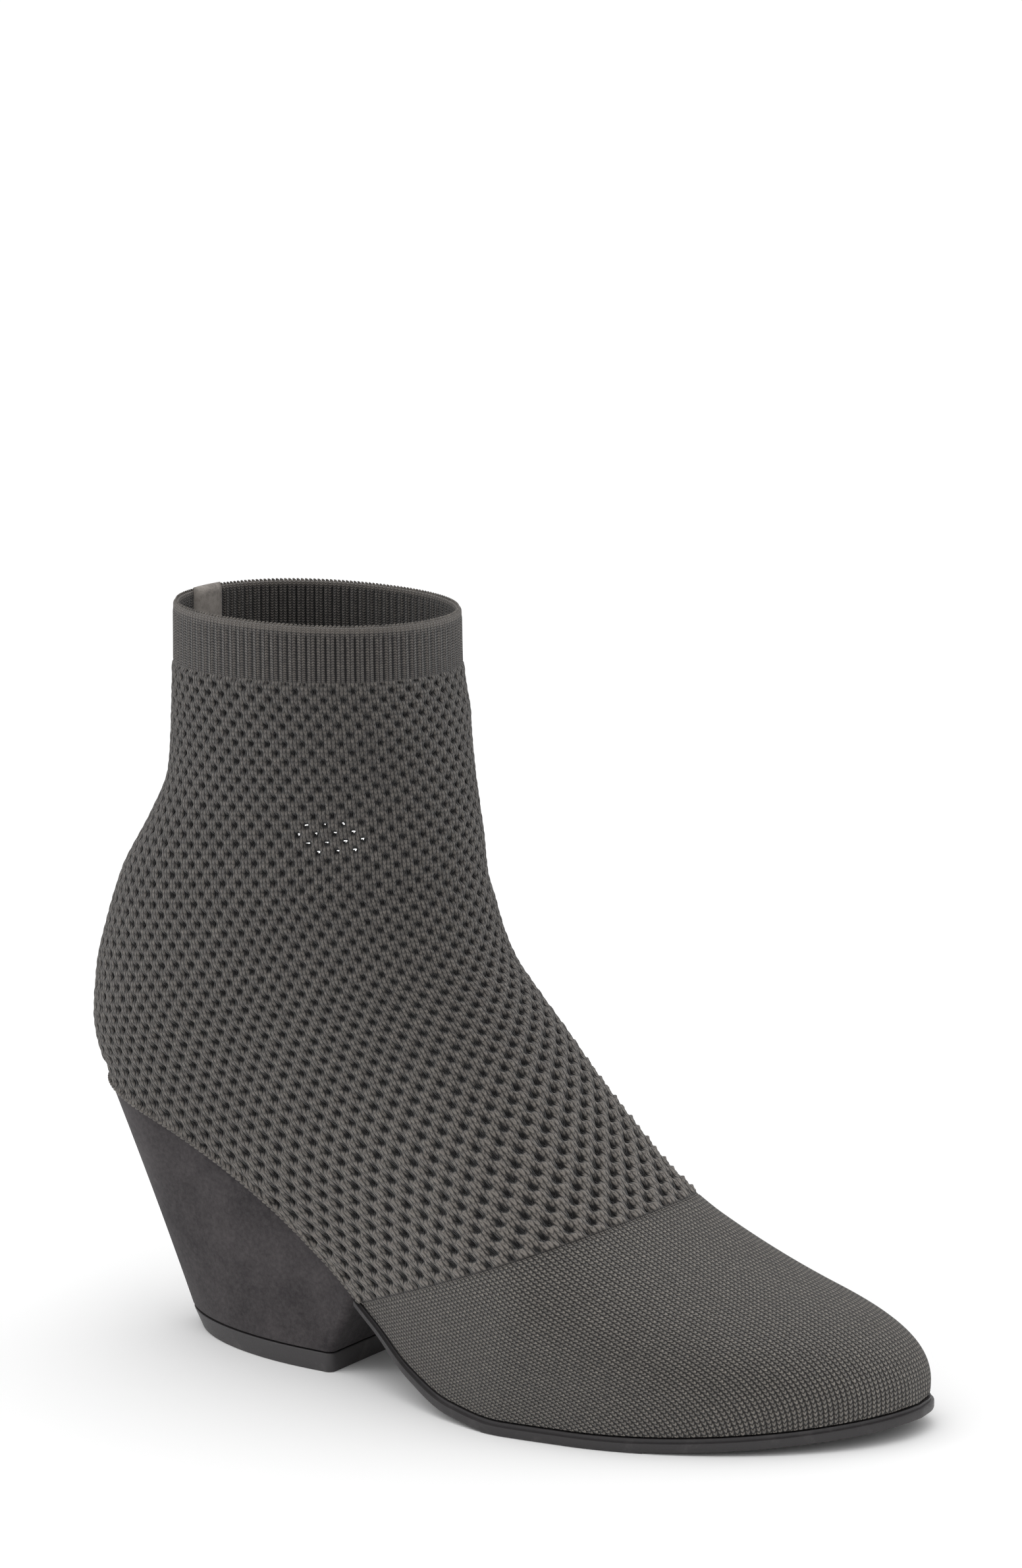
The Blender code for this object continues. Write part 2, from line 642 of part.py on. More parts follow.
def build_back_tape(shell, collection, material):
    """Facing tape down the inside of the back."""
    rows = range(shell.closed_row, len(shell.grid))
    top_z = shell.inner[-1, 0, 2]
    used = [row for row in rows if shell.inner[row, 0, 2] > top_z - TAPE_DROP]
    across = np.linspace(-TAPE_WIDTH / 2, TAPE_WIDTH / 2, TAPE_POINTS)
    faces_of_tape = []
    for depth in (GAP, GAP + TAPE_THICKNESS):
        layer = []
        for row in used:
            points, normals, length = around_back(shell, row)
            place = np.stack([np.interp(across, length, points[:, k]) for k in range(3)], axis=1)
            lean = np.stack([np.interp(across, length, normals[:, k]) for k in range(3)], axis=1)
            layer.append(place - lean * depth)
        faces_of_tape.append(np.array(layer))
    count = faces_of_tape[0].shape[0] * TAPE_POINTS
    index = np.arange(count).reshape(-1, TAPE_POINTS)
    faces = quads_of(index) + quads_of(index + count, flip=True)
    edge = np.concatenate([index[0], index[1:, -1], index[-1, -2::-1], index[-2:0:-1, 0]])
    edge = np.append(edge, edge[0])
    faces += quads_of(np.stack([edge, edge + count]))
    points = np.concatenate([layer.reshape(-1, 3) for layer in faces_of_tape])
    return body_from("back_tape", points, faces, collection, material)


def centre_in_plan(collection):
    """Move the whole boot so that its box stands centred over the origin."""
    points = np.array([vertex.co for part in collection.objects for vertex in part.data.vertices])
    middle = (points.min(axis=0) + points.max(axis=0)) / 2
    move = Matrix.Translation((-middle[0], -middle[1], 0.0))
    for part in collection.objects:
        part.data.transform(move)


def build_all():
    """Build every sub-part."""
    knit = make_material("knit", (0.085, 0.078, 0.073), 0.9)
    suede = make_material("suede", (0.063, 0.059, 0.061), 0.95)
    rubber = make_material("rubber", (0.07, 0.07, 0.07), 0.55)
    sole = make_material("sole", (0.055, 0.054, 0.055), 0.45)
    lining = make_material("lining", (0.05, 0.045, 0.045), 0.9)
    tape = make_material("tape", (0.21, 0.195, 0.18), 0.9)
    collection = bpy.data.collections.new("ankle_boot")
    bpy.context.scene.collection.children.link(collection)
    shell = UpperShell()
    shell.build(collection, knit)
    feather = Feather(shell)
    build_insole(feather, collection, lining)
    build_outsole(feather, collection, sole)
    build_heel_block(feather, collection, suede)
    build_heel_tip(collection, rubber)
    build_back_tape(shell, collection, tape)
    centre_in_plan(collection)


def main():
    """Start from an empty scene and build the boot."""
    for old in list(bpy.data.objects):
        bpy.data.objects.remove(old, do_unlink=True)
    build_all()


main()
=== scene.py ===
"""Dress the knitted ankle boot: knit relief, suede, sole, studio and camera.

The knit is laid in courses. Each course lies in a plane that holds the Y direction, level at the
collar and tilting more and more towards the toe line, as the sock was knitted. Every knit piece
is a grid whose rows are courses, so its relief and its bump follow the stitches.
"""

import logging
import math
from dataclasses import dataclass, field
from enum import Enum
from typing import NamedTuple, Optional

import bmesh
import bpy
import numpy as np
from mathutils import Matrix, Vector
from numpy.lib.stride_tricks import sliding_window_view


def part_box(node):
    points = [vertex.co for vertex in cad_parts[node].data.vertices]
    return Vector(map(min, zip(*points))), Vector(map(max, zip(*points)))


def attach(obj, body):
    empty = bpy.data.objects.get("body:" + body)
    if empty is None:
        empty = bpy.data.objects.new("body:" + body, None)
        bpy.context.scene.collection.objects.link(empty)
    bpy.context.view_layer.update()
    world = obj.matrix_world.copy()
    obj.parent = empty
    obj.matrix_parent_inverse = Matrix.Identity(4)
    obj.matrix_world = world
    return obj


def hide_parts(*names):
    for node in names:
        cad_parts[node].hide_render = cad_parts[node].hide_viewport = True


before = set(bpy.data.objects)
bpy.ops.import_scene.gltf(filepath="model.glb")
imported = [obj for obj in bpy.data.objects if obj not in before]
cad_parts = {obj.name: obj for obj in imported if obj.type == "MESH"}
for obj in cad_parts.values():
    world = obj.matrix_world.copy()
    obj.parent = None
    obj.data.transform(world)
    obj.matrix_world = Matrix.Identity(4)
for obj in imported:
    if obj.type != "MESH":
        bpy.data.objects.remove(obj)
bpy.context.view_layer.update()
LOG = logging.getLogger("boot")
BODY = "root"


class Slot(Enum):
    """Material slot names."""

    KNIT = "knit"
    LINING = "lining"
    SOLE = "sole"
    SUEDE = "suede"
    RUBBER = "rubber"
    TAPE = "tape"


class Section(NamedTuple):
    """One section of the last, in shares of the named sizes."""

    along: float
    lift: float
    up: float
    reach: float
    rise: float
    swing: float
    outer: float
    inner: float
    outer_foot: float
    inner_foot: float
    widest: float


SECTIONS = (
    Section(0.700, 0.000, 0.000, 0.108, 0.691, 0.53, 0.634, 0.366, 0.973, 0.953, 0.30),
    Section(0.631, 0.000, 0.000, 0.161, 0.837, 0.42, 0.640, 0.360, 0.973, 0.921, 0.31),
    Section(0.558, 0.023, 0.000, 0.254, 0.986, 0.33, 0.596, 0.356, 0.962, 0.855, 0.32),
    Section(0.488, 0.096, 0.000, 0.349, 1.081, 0.25, 0.534, 0.354, 0.913, 0.754, 0.34),
    Section(0.419, 0.237, 0.000, 0.451, 1.107, 0.19, 0.469, 0.356, 0.861, 0.683, 0.37),
    Section(0.346, 0.421, 0.000, 0.575, 1.067, 0.14, 0.435, 0.368, 0.831, 0.700, 0.40),
    Section(0.269, 0.612, 0.000, 0.728, 1.013, 0.08, 0.425, 0.387, 0.836, 0.787, 0.42),
    Section(0.188, 0.774, 0.000, 0.935, 0.973, 0.06, 0.441, 0.411, 0.828, 0.825, 0.43),
    Section(0.104, 0.902, 0.000, 1.173, 0.960, 0.03, 0.460, 0.433, 0.797, 0.831, 0.43),
    Section(0.040, 0.970, 0.000, 1.354, 0.973, 0.00, 0.478, 0.448, 0.770, 0.800, 0.44),
    Section(0.000, 1.000, 0.000, 1.472, 1.000, 0.00, 0.493, 0.460, 0.760, 0.780, 0.44),
    Section(-0.017, 1.000, 0.103, 1.514, 0.893, 0.00, 0.504, 0.470, 0.000, 0.000, 0.45),
    Section(-0.012, 1.000, 0.208, 1.480, 0.787, 0.00, 0.504, 0.477, 0.000, 0.000, 0.47),
    Section(0.004, 1.000, 0.311, 1.418, 0.680, 0.00, 0.501, 0.481, 0.000, 0.000, 0.48),
    Section(0.028, 1.000, 0.423, 1.320, 0.560, 0.00, 0.499, 0.485, 0.000, 0.000, 0.49),
    Section(0.070, 1.000, 0.544, 1.170, 0.420, 0.00, 0.496, 0.490, 0.000, 0.000, 0.50),
    Section(0.099, 1.000, 0.652, 1.067, 0.293, 0.00, 0.497, 0.496, 0.000, 0.000, 0.50),
    Section(0.105, 1.000, 0.759, 1.029, 0.160, 0.00, 0.499, 0.501, 0.000, 0.000, 0.50),
    Section(0.108, 1.000, 0.880, 1.008, 0.005, 0.00, 0.499, 0.501, 0.000, 0.000, 0.50),
    Section(0.109, 1.000, 1.000, 1.000, -0.023, 0.00, 0.499, 0.501, 0.000, 0.000, 0.50),
)


def blend(start: float, end: float, share: float) -> float:
    """Value a share of the way from start to end."""
    return start + (end - start) * share


def smooth(low: float, high: float, value: np.ndarray) -> np.ndarray:
    """Soft step from 0 at low to 1 at high."""
    share = np.clip((value - low) / (high - low), 0.0, 1.0)
    return share * share * (3.0 - 2.0 * share)


def end_round(share: float, exponent: float) -> float:
    """Share of the full size that is left at a share of the way to a rounded end."""
    return max(0.0, 1.0 - share ** exponent) ** (1.0 / exponent)


def even_points(curve: np.ndarray, count: int) -> np.ndarray:
    """Resample a curve to count + 1 points, evenly spaced along its length.

    Args:
        curve: Points in order, one to a row.
        count: Number of steps wanted.

    Returns:
        The new points, one to a row.
    """
    steps = np.linalg.norm(np.diff(curve, axis=0), axis=1)
    length = np.concatenate([[0.0], np.cumsum(steps)])
    if length[-1] < 1e-9:
        return np.repeat(curve[:1], count + 1, axis=0)
    wanted = np.linspace(0.0, length[-1], count + 1)
    return np.stack([np.interp(wanted, length, axis) for axis in curve.T], axis=1)


@dataclass
class Last:
    """The form that knit, sole and heel are made on, as the solids have it."""

    length: float = 0.2444
    ball_width: float = 0.0823
    collar_width: float = 0.0690
    collar_length: float = 0.0787
    heel_lift: float = 0.0666
    shaft_rise: float = 0.1357
    instep_rise: float = 0.0705
    toe_height: float = 0.0220
    toe_spring: float = 0.0045
    toe_swing: float = 0.0169
    feather_z: float = 0.00405
    toe_sections: float = 4.32
    toe_outer_round: float = 1.75
    toe_inner_round: float = 2.5
    toe_top_round: float = 2.6
    toe_top_start: float = 0.51
    toe_slope: float = 1.4
    spring_curve: float = 2.2
    heel_round_from: float = 0.115
    heel_round: float = 2.1
    top_round: float = 2.1
    bottom_round: float = 2.2
    closed_from: float = 10.0
    rib_from: float = 18.0
    toe_line_foot: float = 0.404
    toe_line_top: float = 0.723
    sole_ledge: float = 0.0012
    curve_points: int = 260
    columns: int = 360
    steps: int = 640
    opening_steps: int = 80
    origin: np.ndarray = field(init=False)
    values: np.ndarray = field(init=False)
    slopes: np.ndarray = field(init=False)

    def __post_init__(self) -> None:
        """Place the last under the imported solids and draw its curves."""
        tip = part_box("heel_tip")
        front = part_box("outsole")[1][0]
        self.origin = np.array([front - self.length - self.sole_ledge,
                                (tip[0][1] + tip[1][1]) / 2, 0.0])
        knots = [self.toe_measure(2.0 / self.toe_sections), self.toe_measure(1.0 / self.toe_sections)]
        knots += [self.row_measure(row) for row in SECTIONS]
        self.values = np.array(knots)
        change = np.diff(self.values, axis=0)
        before, after = change[:-1], change[1:]
        turns = before * after <= 0.0
        total = np.where(turns, 1.0, before + after)
        inside = np.where(turns, 0.0, 2 * before * after / total)
        self.slopes = np.vstack([change[:1], inside, change[-1:]])

    @property
    def last_section(self) -> float:
        """Section step at the collar's edge."""
        return float(len(SECTIONS) - 1)

    def row_measure(self, row: Section) -> list[float]:
        """Turn a table row into metres.

        Args:
            row: Shares of the named sizes.

        Returns:
            Back x and z, front x and z, ridge y, half widths, feather widths, widest share.
        """
        girth = blend(self.ball_width, self.collar_width, row.lift)
        back_x = row.along * self.length
        back_z = self.feather_z + row.lift * self.heel_lift + row.up * self.shaft_rise
        outer = row.outer * girth
        inner = row.inner * girth
        return [back_x, back_z, back_x + row.reach * self.collar_length,
                back_z + row.rise * self.instep_rise, row.swing * self.toe_swing, outer, inner,
                outer * row.outer_foot, inner * row.inner_foot, row.widest]

    def toe_measure(self, share: float) -> list[float]:
        """Section of the toe in metres.

        Args:
            share: 0 at the ball, 1 at the tip.

        Returns:
            The same values as row_measure.
        """
        ball = self.row_measure(SECTIONS[0])
        x = blend(ball[0], self.length, share)
        z = self.feather_z + self.toe_spring * share ** self.spring_curve
        height = self.toe_height + (ball[3] - ball[1] - self.toe_height) * (1.0 - share) ** self.toe_slope
        top_share = max(0.0, share - self.toe_top_start) / (1.0 - self.toe_top_start)
        height *= end_round(top_share, self.toe_top_round)
        lean = (ball[2] - ball[0]) * (1.0 - share) ** self.toe_slope
        outer = end_round(share, self.toe_outer_round)
        inner = end_round(share, self.toe_inner_round)
        swing = blend(ball[4], self.toe_swing, share)
        return [x, z, x + lean, z + height, swing, ball[5] * outer, ball[6] * inner,
                ball[7] * outer, ball[8] * inner, ball[9]]

    def measure_at(self, step: float) -> list[float]:
        """Section in metres at any step: 0 at the ball, negative in the toe."""
        if step < 0.0:
            return self.toe_measure(min(1.0, -step / self.toe_sections))
        place = min(step, self.last_section) + 2.0
        low = min(int(place), len(self.values) - 2)
        t = place - low
        row = (self.values[low] * (1 + 2 * t) * (1 - t) ** 2 + self.slopes[low] * t * (1 - t) ** 2
               + self.values[low + 1] * t * t * (3 - 2 * t) + self.slopes[low + 1] * t * t * (t - 1))
        behind = min(1.0, max(0.0, 1.0 - row[0] / (self.heel_round_from * self.length)))
        closing = end_round(behind, self.heel_round) if step < self.closed_from else 0.0
        row[7] *= closing
        row[8] *= closing
        return list(row)

    def half_curve(self, measure: list[float], width: float, foot: float, side: float,
                   count: int, whole: bool = False) -> np.ndarray:
        """Points from the ridge down one side to the feather line or the back.

        Args:
            measure: Section in metres.
            width: Half width on this side.
            foot: Feather line's distance from the ridge line.
            side: -1 for the outer side, 1 for the inner.
            count: Number of points.
            whole: Whether the points stand at fixed angles, those past the line gathered on it.

        Returns:
            Points in the last's own frame.
        """
        share = min(1.0, foot / width) if width > 0.0 else 0.0
        last = math.pi - math.asin(share ** (self.bottom_round / 2))
        angle = np.minimum(np.linspace(0.0, math.pi if whole else last, count), last)
        over = angle <= math.pi / 2
        power = np.where(over, 2.0 / self.top_round, 2.0 / self.bottom_round)
        cosine = np.abs(np.cos(angle)) ** power
        floor = abs(math.cos(last)) ** (2.0 / self.bottom_round)
        widest = measure[9]
        height = np.where(over, widest + (1.0 - widest) * cosine,
                          widest * (1.0 - cosine / max(floor, 1e-6)))
        y = measure[4] + side * width * np.abs(np.sin(angle)) ** power
        x = blend(measure[0], measure[2], height)
        z = blend(measure[1], measure[3], height)
        return np.stack([x, y, z], axis=1)

    def section_points(self, step: float, columns: int) -> np.ndarray:
        """One section, outer feather line over the ridge to the inner one.

        Args:
            step: Section step.
            columns: Number of spaces between points.

        Returns:
            columns + 1 points in the last's own frame.
        """
        measure = self.measure_at(step)
        outer = self.half_curve(measure, measure[5], measure[7], -1.0, self.curve_points)
        inner = self.half_curve(measure, measure[6], measure[8], 1.0, self.curve_points)
        half = columns // 2
        return np.concatenate([even_points(outer, half)[::-1], even_points(inner, half)[1:]])

    def whole_section(self, step: float) -> np.ndarray:
        """One section at fixed angles, outer side over the ridge to the inner one."""
        measure = self.measure_at(step)
        count = self.columns // 2 + 1
        outer = self.half_curve(measure, measure[5], measure[7], -1.0, count, whole=True)
        inner = self.half_curve(measure, measure[6], measure[8], 1.0, count, whole=True)
        return np.concatenate([outer[::-1], inner[1:]])

    def dense(self) -> tuple[np.ndarray, np.ndarray]:
        """Fine grid of the whole form, toe tip to collar: the steps and the points."""
        even = np.linspace(-self.toe_sections, self.last_section, self.steps)
        opening = self.closed_from - np.geomspace(1e-5, 0.6, self.opening_steps)
        steps = np.unique(np.concatenate([even, opening]))
        return steps, np.array([self.whole_section(step) for step in steps])


def widened(values: np.ndarray, span: int) -> np.ndarray:
    """Running maximum, then running mean of each column, so never below the values.

    Args:
        values: One row for each course.
        span: Rows on each side that a window takes in.

    Returns:
        Smoothed values of the same shape.
    """
    window = 2 * span + 1
    padded = np.pad(values, ((2 * span, 2 * span), (0, 0)), mode="edge")
    tallest = sliding_window_view(padded, window, axis=0).max(axis=-1)
    return sliding_window_view(tallest, window, axis=0).mean(axis=-1)


@dataclass
class CourseField:
    """Planes of the knit's courses, numbered by arc length down the front ridge."""

    last: Last
    planes: int = 260
    steps: np.ndarray = field(init=False)
    points: np.ndarray = field(init=False)
    course: np.ndarray = field(init=False)
    rib_course: float = field(init=False)
    toe_course: float = field(init=False)
    tip_course: float = field(init=False)

    def __post_init__(self) -> None:
        """Number every point of the fine grid by the course that it lies on."""
        self.steps, self.points = self.last.dense()
        ridge = self.points[::-1, self.last.columns // 2][:, (0, 2)]
        travel = np.concatenate([[0.0], np.cumsum(np.linalg.norm(np.diff(ridge, axis=0), axis=1))])
        self.rib_course = float(np.interp(-self.last.rib_from, -self.steps[::-1], travel))
        self.tip_course = float(travel[-1])
        top = int(np.argmax(ridge[:, 0] > self.last.toe_line_top * self.last.length))
        below = travel > travel[-1] * 0.4
        top = max(top, int(np.argmax(below & (ridge[:, 0] > self.last.toe_line_top * self.last.length))))
        self.toe_course = float(travel[top])
        feather = self.points[:, 0][:, (0, 2)]
        foot = int(np.argmax(feather[:, 0] < self.last.toe_line_foot * self.last.length))
        run = ridge[top] - feather[foot]
        toe_tilt = math.atan2(run[1], run[0])
        numbers = np.linspace(0.0, self.tip_course, self.planes)
        place = np.stack([np.interp(numbers, travel, ridge[:, k]) for k in range(2)], axis=1)
        share = np.clip((numbers - self.rib_course) / (self.toe_course - self.rib_course), 0.0, 1.0)
        back_x, back_z, front_x, front_z = self.last.measure_at(self.last.rib_from)[:4]
        collar_tilt = math.atan2(front_z - back_z, front_x - back_x)
        tilt = collar_tilt + (toe_tilt - collar_tilt) * share
        self.course = self.number(self.points, numbers, place, tilt)

    def number(self, points: np.ndarray, numbers: np.ndarray, place: np.ndarray,
               tilt: np.ndarray) -> np.ndarray:
        """Course number at each point, by where it changes sides of the planes.

        Args:
            points: Grid of points, in the last's own frame.
            numbers: Course number of each plane.
            place: Ridge point of each plane, x and z.
            tilt: Angle of each plane.

        Returns:
            Grid of course numbers.
        """
        found = np.empty(points.shape[:2])
        for row, line in enumerate(points):
            above = ((line[:, None, 2] - place[None, :, 1]) * np.cos(tilt)
                     - (line[:, None, 0] - place[None, :, 0]) * np.sin(tilt))
            high = np.clip(np.argmax(above > 0.0, axis=1), 1, len(numbers) - 1)
            high = np.where(above[:, -1] <= 0.0, len(numbers) - 1, high)
            k = np.arange(len(line))
            low_side, high_side = above[k, high - 1], above[k, high]
            share = np.clip(low_side / np.minimum(low_side - high_side, -1e-12), 0.0, 1.0)
            found[row] = blend(numbers[high - 1], numbers[high], share)
        return found

    def rows(self, courses: np.ndarray, columns: int, span: int = 0
             ) -> tuple[np.ndarray, np.ndarray]:
        """Grid whose rows follow the courses.

        Args:
            courses: Course number of each row, from collar to toe.
            columns: Number of spaces along a row.
            span: Rows over which the columns' spacing is evened; those past an end gather there.

        Returns:
            Points, and each point's arc length from the ridge, negative on the outer side.
        """
        raw = np.empty((len(courses), self.points.shape[1], 3))
        for column in range(self.points.shape[1]):
            numbers = np.maximum.accumulate(self.course[::-1, column])
            numbers = numbers + np.arange(len(numbers)) * 1e-9
            for axis in range(3):
                raw[:, column, axis] = np.interp(courses, numbers, self.points[::-1, column, axis])
        middle = self.points.shape[1] // 2
        steps = np.linalg.norm(np.diff(raw, axis=1), axis=2)
        travels = np.pad(np.cumsum(steps, axis=1), ((0, 0), (1, 0)))
        reach = np.stack([travels[:, middle], travels[:, -1] - travels[:, middle]], axis=1)
        if span:
            reach = widened(reach, span)
        grid = np.empty((len(courses), columns + 1, 3))
        arc = np.empty((len(courses), columns + 1))
        half = columns // 2
        for row, (line, travel) in enumerate(zip(raw, travels)):
            outer = np.linspace(-reach[row, 0], 0.0, half + 1)[:-1]
            inner = np.linspace(0.0, reach[row, 1], columns - half + 1)
            wanted = np.clip(np.concatenate([outer, inner]) + travel[middle], 0.0, travel[-1])
            for axis in range(3):
                grid[row, :, axis] = np.interp(wanted, travel, line[:, axis])
            arc[row] = wanted - travel[middle]
        return grid, arc


@dataclass(frozen=True)
class Swell:
    """A soft ridge or trough in the form, steeper on its upper side than below."""

    centre: tuple[float, float, float]
    reach_across: float
    reach_along: float
    above: float
    below: float
    height: float

    def lift(self, points: np.ndarray) -> np.ndarray:
        """Height of the swell at each point of the last."""
        offset = points - np.array(self.centre)
        tall = np.where(offset[..., 2] > 0.0, self.above, self.below)
        return self.height * np.exp(-(offset[..., 1] / self.reach_across) ** 2
                                    - (offset[..., 0] / self.reach_along) ** 2
                                    - (offset[..., 2] / tall) ** 2)


SWELLS = (
    Swell((0.0163, 0.0, 0.1440), 0.0110, 0.0120, 0.0032, 0.0070, 0.0017),
    Swell((0.1040, 0.0060, 0.1600), 0.0300, 0.0150, 0.0040, 0.0050, -0.0005),
    Swell((0.0750, -0.0330, 0.1500), 0.0200, 0.0220, 0.0040, 0.0060, -0.0006),
    Swell((0.0780, -0.0330, 0.1360), 0.0200, 0.0260, 0.0050, 0.0060, 0.0005),
)


def swollen(points: np.ndarray, normals: np.ndarray) -> np.ndarray:
    """Points of the last with every swell of the worn form laid on."""
    lift = sum(swell.lift(points) for swell in SWELLS)
    return points + normals * lift[..., None]


def grid_normals(grid: np.ndarray) -> np.ndarray:
    """Unit normals of a grid of points, pointing away from its middle line.

    Args:
        grid: Rows from collar to toe, columns from the outer to the inner side.

    Returns:
        One normal for each point.
    """
    down = np.gradient(grid, axis=0)
    across = np.gradient(grid, axis=1)
    normal = np.cross(across, down)
    length = np.linalg.norm(normal, axis=2, keepdims=True)
    normal = normal / np.maximum(length, 1e-15)
    outward = grid - grid.mean(axis=1, keepdims=True)
    if float((normal * outward).sum()) < 0.0:
        normal = -normal
    return normal


def gathered(arc: np.ndarray) -> np.ndarray:
    """For each point, the first column that shares its place along the row."""
    same = np.pad(np.diff(arc, axis=1) < 1e-9, ((0, 0), (1, 0)))
    return np.maximum.accumulate(np.where(same, 0, np.arange(arc.shape[1])), axis=1)


def steady_normals(grid: np.ndarray, arc: np.ndarray, closed: np.ndarray, span: int = 4) -> np.ndarray:
    """Normals of the leg's grid, carried across the course where its back opens.

    Args:
        grid: Rows from collar to toe.
        arc: Each point's arc length from the ridge.
        closed: For each row, whether its two ends are one point.
        span: Rows on each side of the opening course whose normals are carried.

    Returns:
        One normal for each point.
    """
    first = gathered(arc)
    low_end = (first == 0).sum(axis=1, keepdims=True) - 1
    nearest = np.clip(np.arange(arc.shape[1]), low_end, first[:, -1:])
    normals = np.take_along_axis(grid_normals(grid), nearest[..., None], axis=1)
    both = normals[closed, 0] + normals[closed, -1]
    normals[closed, 0] = normals[closed, -1] = both
    opening = int(np.argmin(closed))
    above, below = opening - span, opening + span
    for row in range(above + 1, below):
        share = (row - above) / (below - above)
        for axis in range(3):
            high = np.interp(arc[row], arc[above], normals[above, :, axis])
            low = np.interp(arc[row], arc[below], normals[below, :, axis])
            normals[row, :, axis] = blend(high, low, share)
    return normals / np.maximum(np.linalg.norm(normals, axis=2, keepdims=True), 1e-12)


def grid_object(name: str, grid: np.ndarray, stitches: np.ndarray,
                closed: Optional[np.ndarray] = None, pole: bool = False,
                marks: Optional[dict[str, np.ndarray]] = None, inside: bool = False,
                gone: Optional[np.ndarray] = None,
                first: Optional[np.ndarray] = None) -> bpy.types.Object:
    """A mesh object from a grid of points, its faces turned outward.

    Args:
        name: Name of the piece.
        grid: Points, in the frame.
        stitches: Wale and course number of each point, kept as the piece's UV map.
        closed: For each row, whether its two ends are one point.
        pole: Whether the last row is one point.
        marks: Values kept on the points for the finish.
        inside: Whether the faces look inward, as on a lining.
        gone: For each space between points, whether the knit is open there.
        first: For each point, the first column that shares its place.

    Returns:
        The new object.
    """
    rows, columns = grid.shape[:2]
    index = np.arange(rows * columns).reshape(rows, columns)
    if first is None:
        first = np.broadcast_to(np.arange(columns), (rows, columns))
    index = np.take_along_axis(index, first, axis=1)
    if closed is not None:
        ends = (first == first[:, -1:]) & closed[:, None]
        index = np.where(ends, index[:, :1], index)
    if pole:
        index[-1, :] = index[-1, 0]
    used, compact = np.unique(index, return_inverse=True)
    compact = compact.reshape(rows, columns)
    corners = [(0, 0), (1, 0), (1, 1), (0, 1)]
    faces = np.stack([compact[r:rows - 1 + r, c:columns - 1 + c] for r, c in corners], axis=-1)
    places = np.arange(rows * columns).reshape(rows, columns)
    loops = np.stack([places[r:rows - 1 + r, c:columns - 1 + c] for r, c in corners], axis=-1)
    faces = faces.reshape(-1, 4)
    loops = loops.reshape(-1, 4)
    points = grid.reshape(-1, 3)[used]
    flat = grid_normals(grid)[:-1, :-1].reshape(-1, 3)
    turn = np.cross(points[faces[:, 2]] - points[faces[:, 0]], points[faces[:, 3]] - points[faces[:, 1]])
    wrong = float((turn * flat).sum()) < 0.0
    if wrong != inside:
        faces = faces[:, ::-1]
        loops = loops[:, ::-1]
    same_next = faces == np.roll(faces, -1, axis=1)
    keep = ~same_next
    total = keep.sum(axis=1)
    good = total > 2
    if gone is not None:
        good &= ~gone.reshape(-1)
    keep = keep[good]
    total = total[good]
    corner_vertex = faces[good][keep]
    corner_place = loops[good][keep]
    mesh = bpy.data.meshes.new(name)
    mesh.vertices.add(len(points))
    mesh.vertices.foreach_set("co", points.astype(np.float32).ravel())
    mesh.loops.add(len(corner_vertex))
    mesh.loops.foreach_set("vertex_index", corner_vertex.astype(np.int32))
    mesh.polygons.add(len(total))
    starts = np.concatenate([[0], np.cumsum(total)[:-1]])
    mesh.polygons.foreach_set("loop_start", starts.astype(np.int32))
    mesh.polygons.foreach_set("loop_total", total.astype(np.int32))
    uv = mesh.uv_layers.new(name="stitches")
    uv.data.foreach_set("uv", stitches.reshape(-1, 2)[corner_place].astype(np.float32).ravel())
    for mark, values in (marks or {}).items():
        layer = mesh.attributes.new(mark, "FLOAT", "POINT")
        layer.data.foreach_set("value", values.reshape(-1)[used].astype(np.float32))
    mesh.update(calc_edges=True)
    mesh.validate()
    mesh.shade_smooth()
    piece = bpy.data.objects.new(name, mesh)
    bpy.context.scene.collection.objects.link(piece)
    return piece


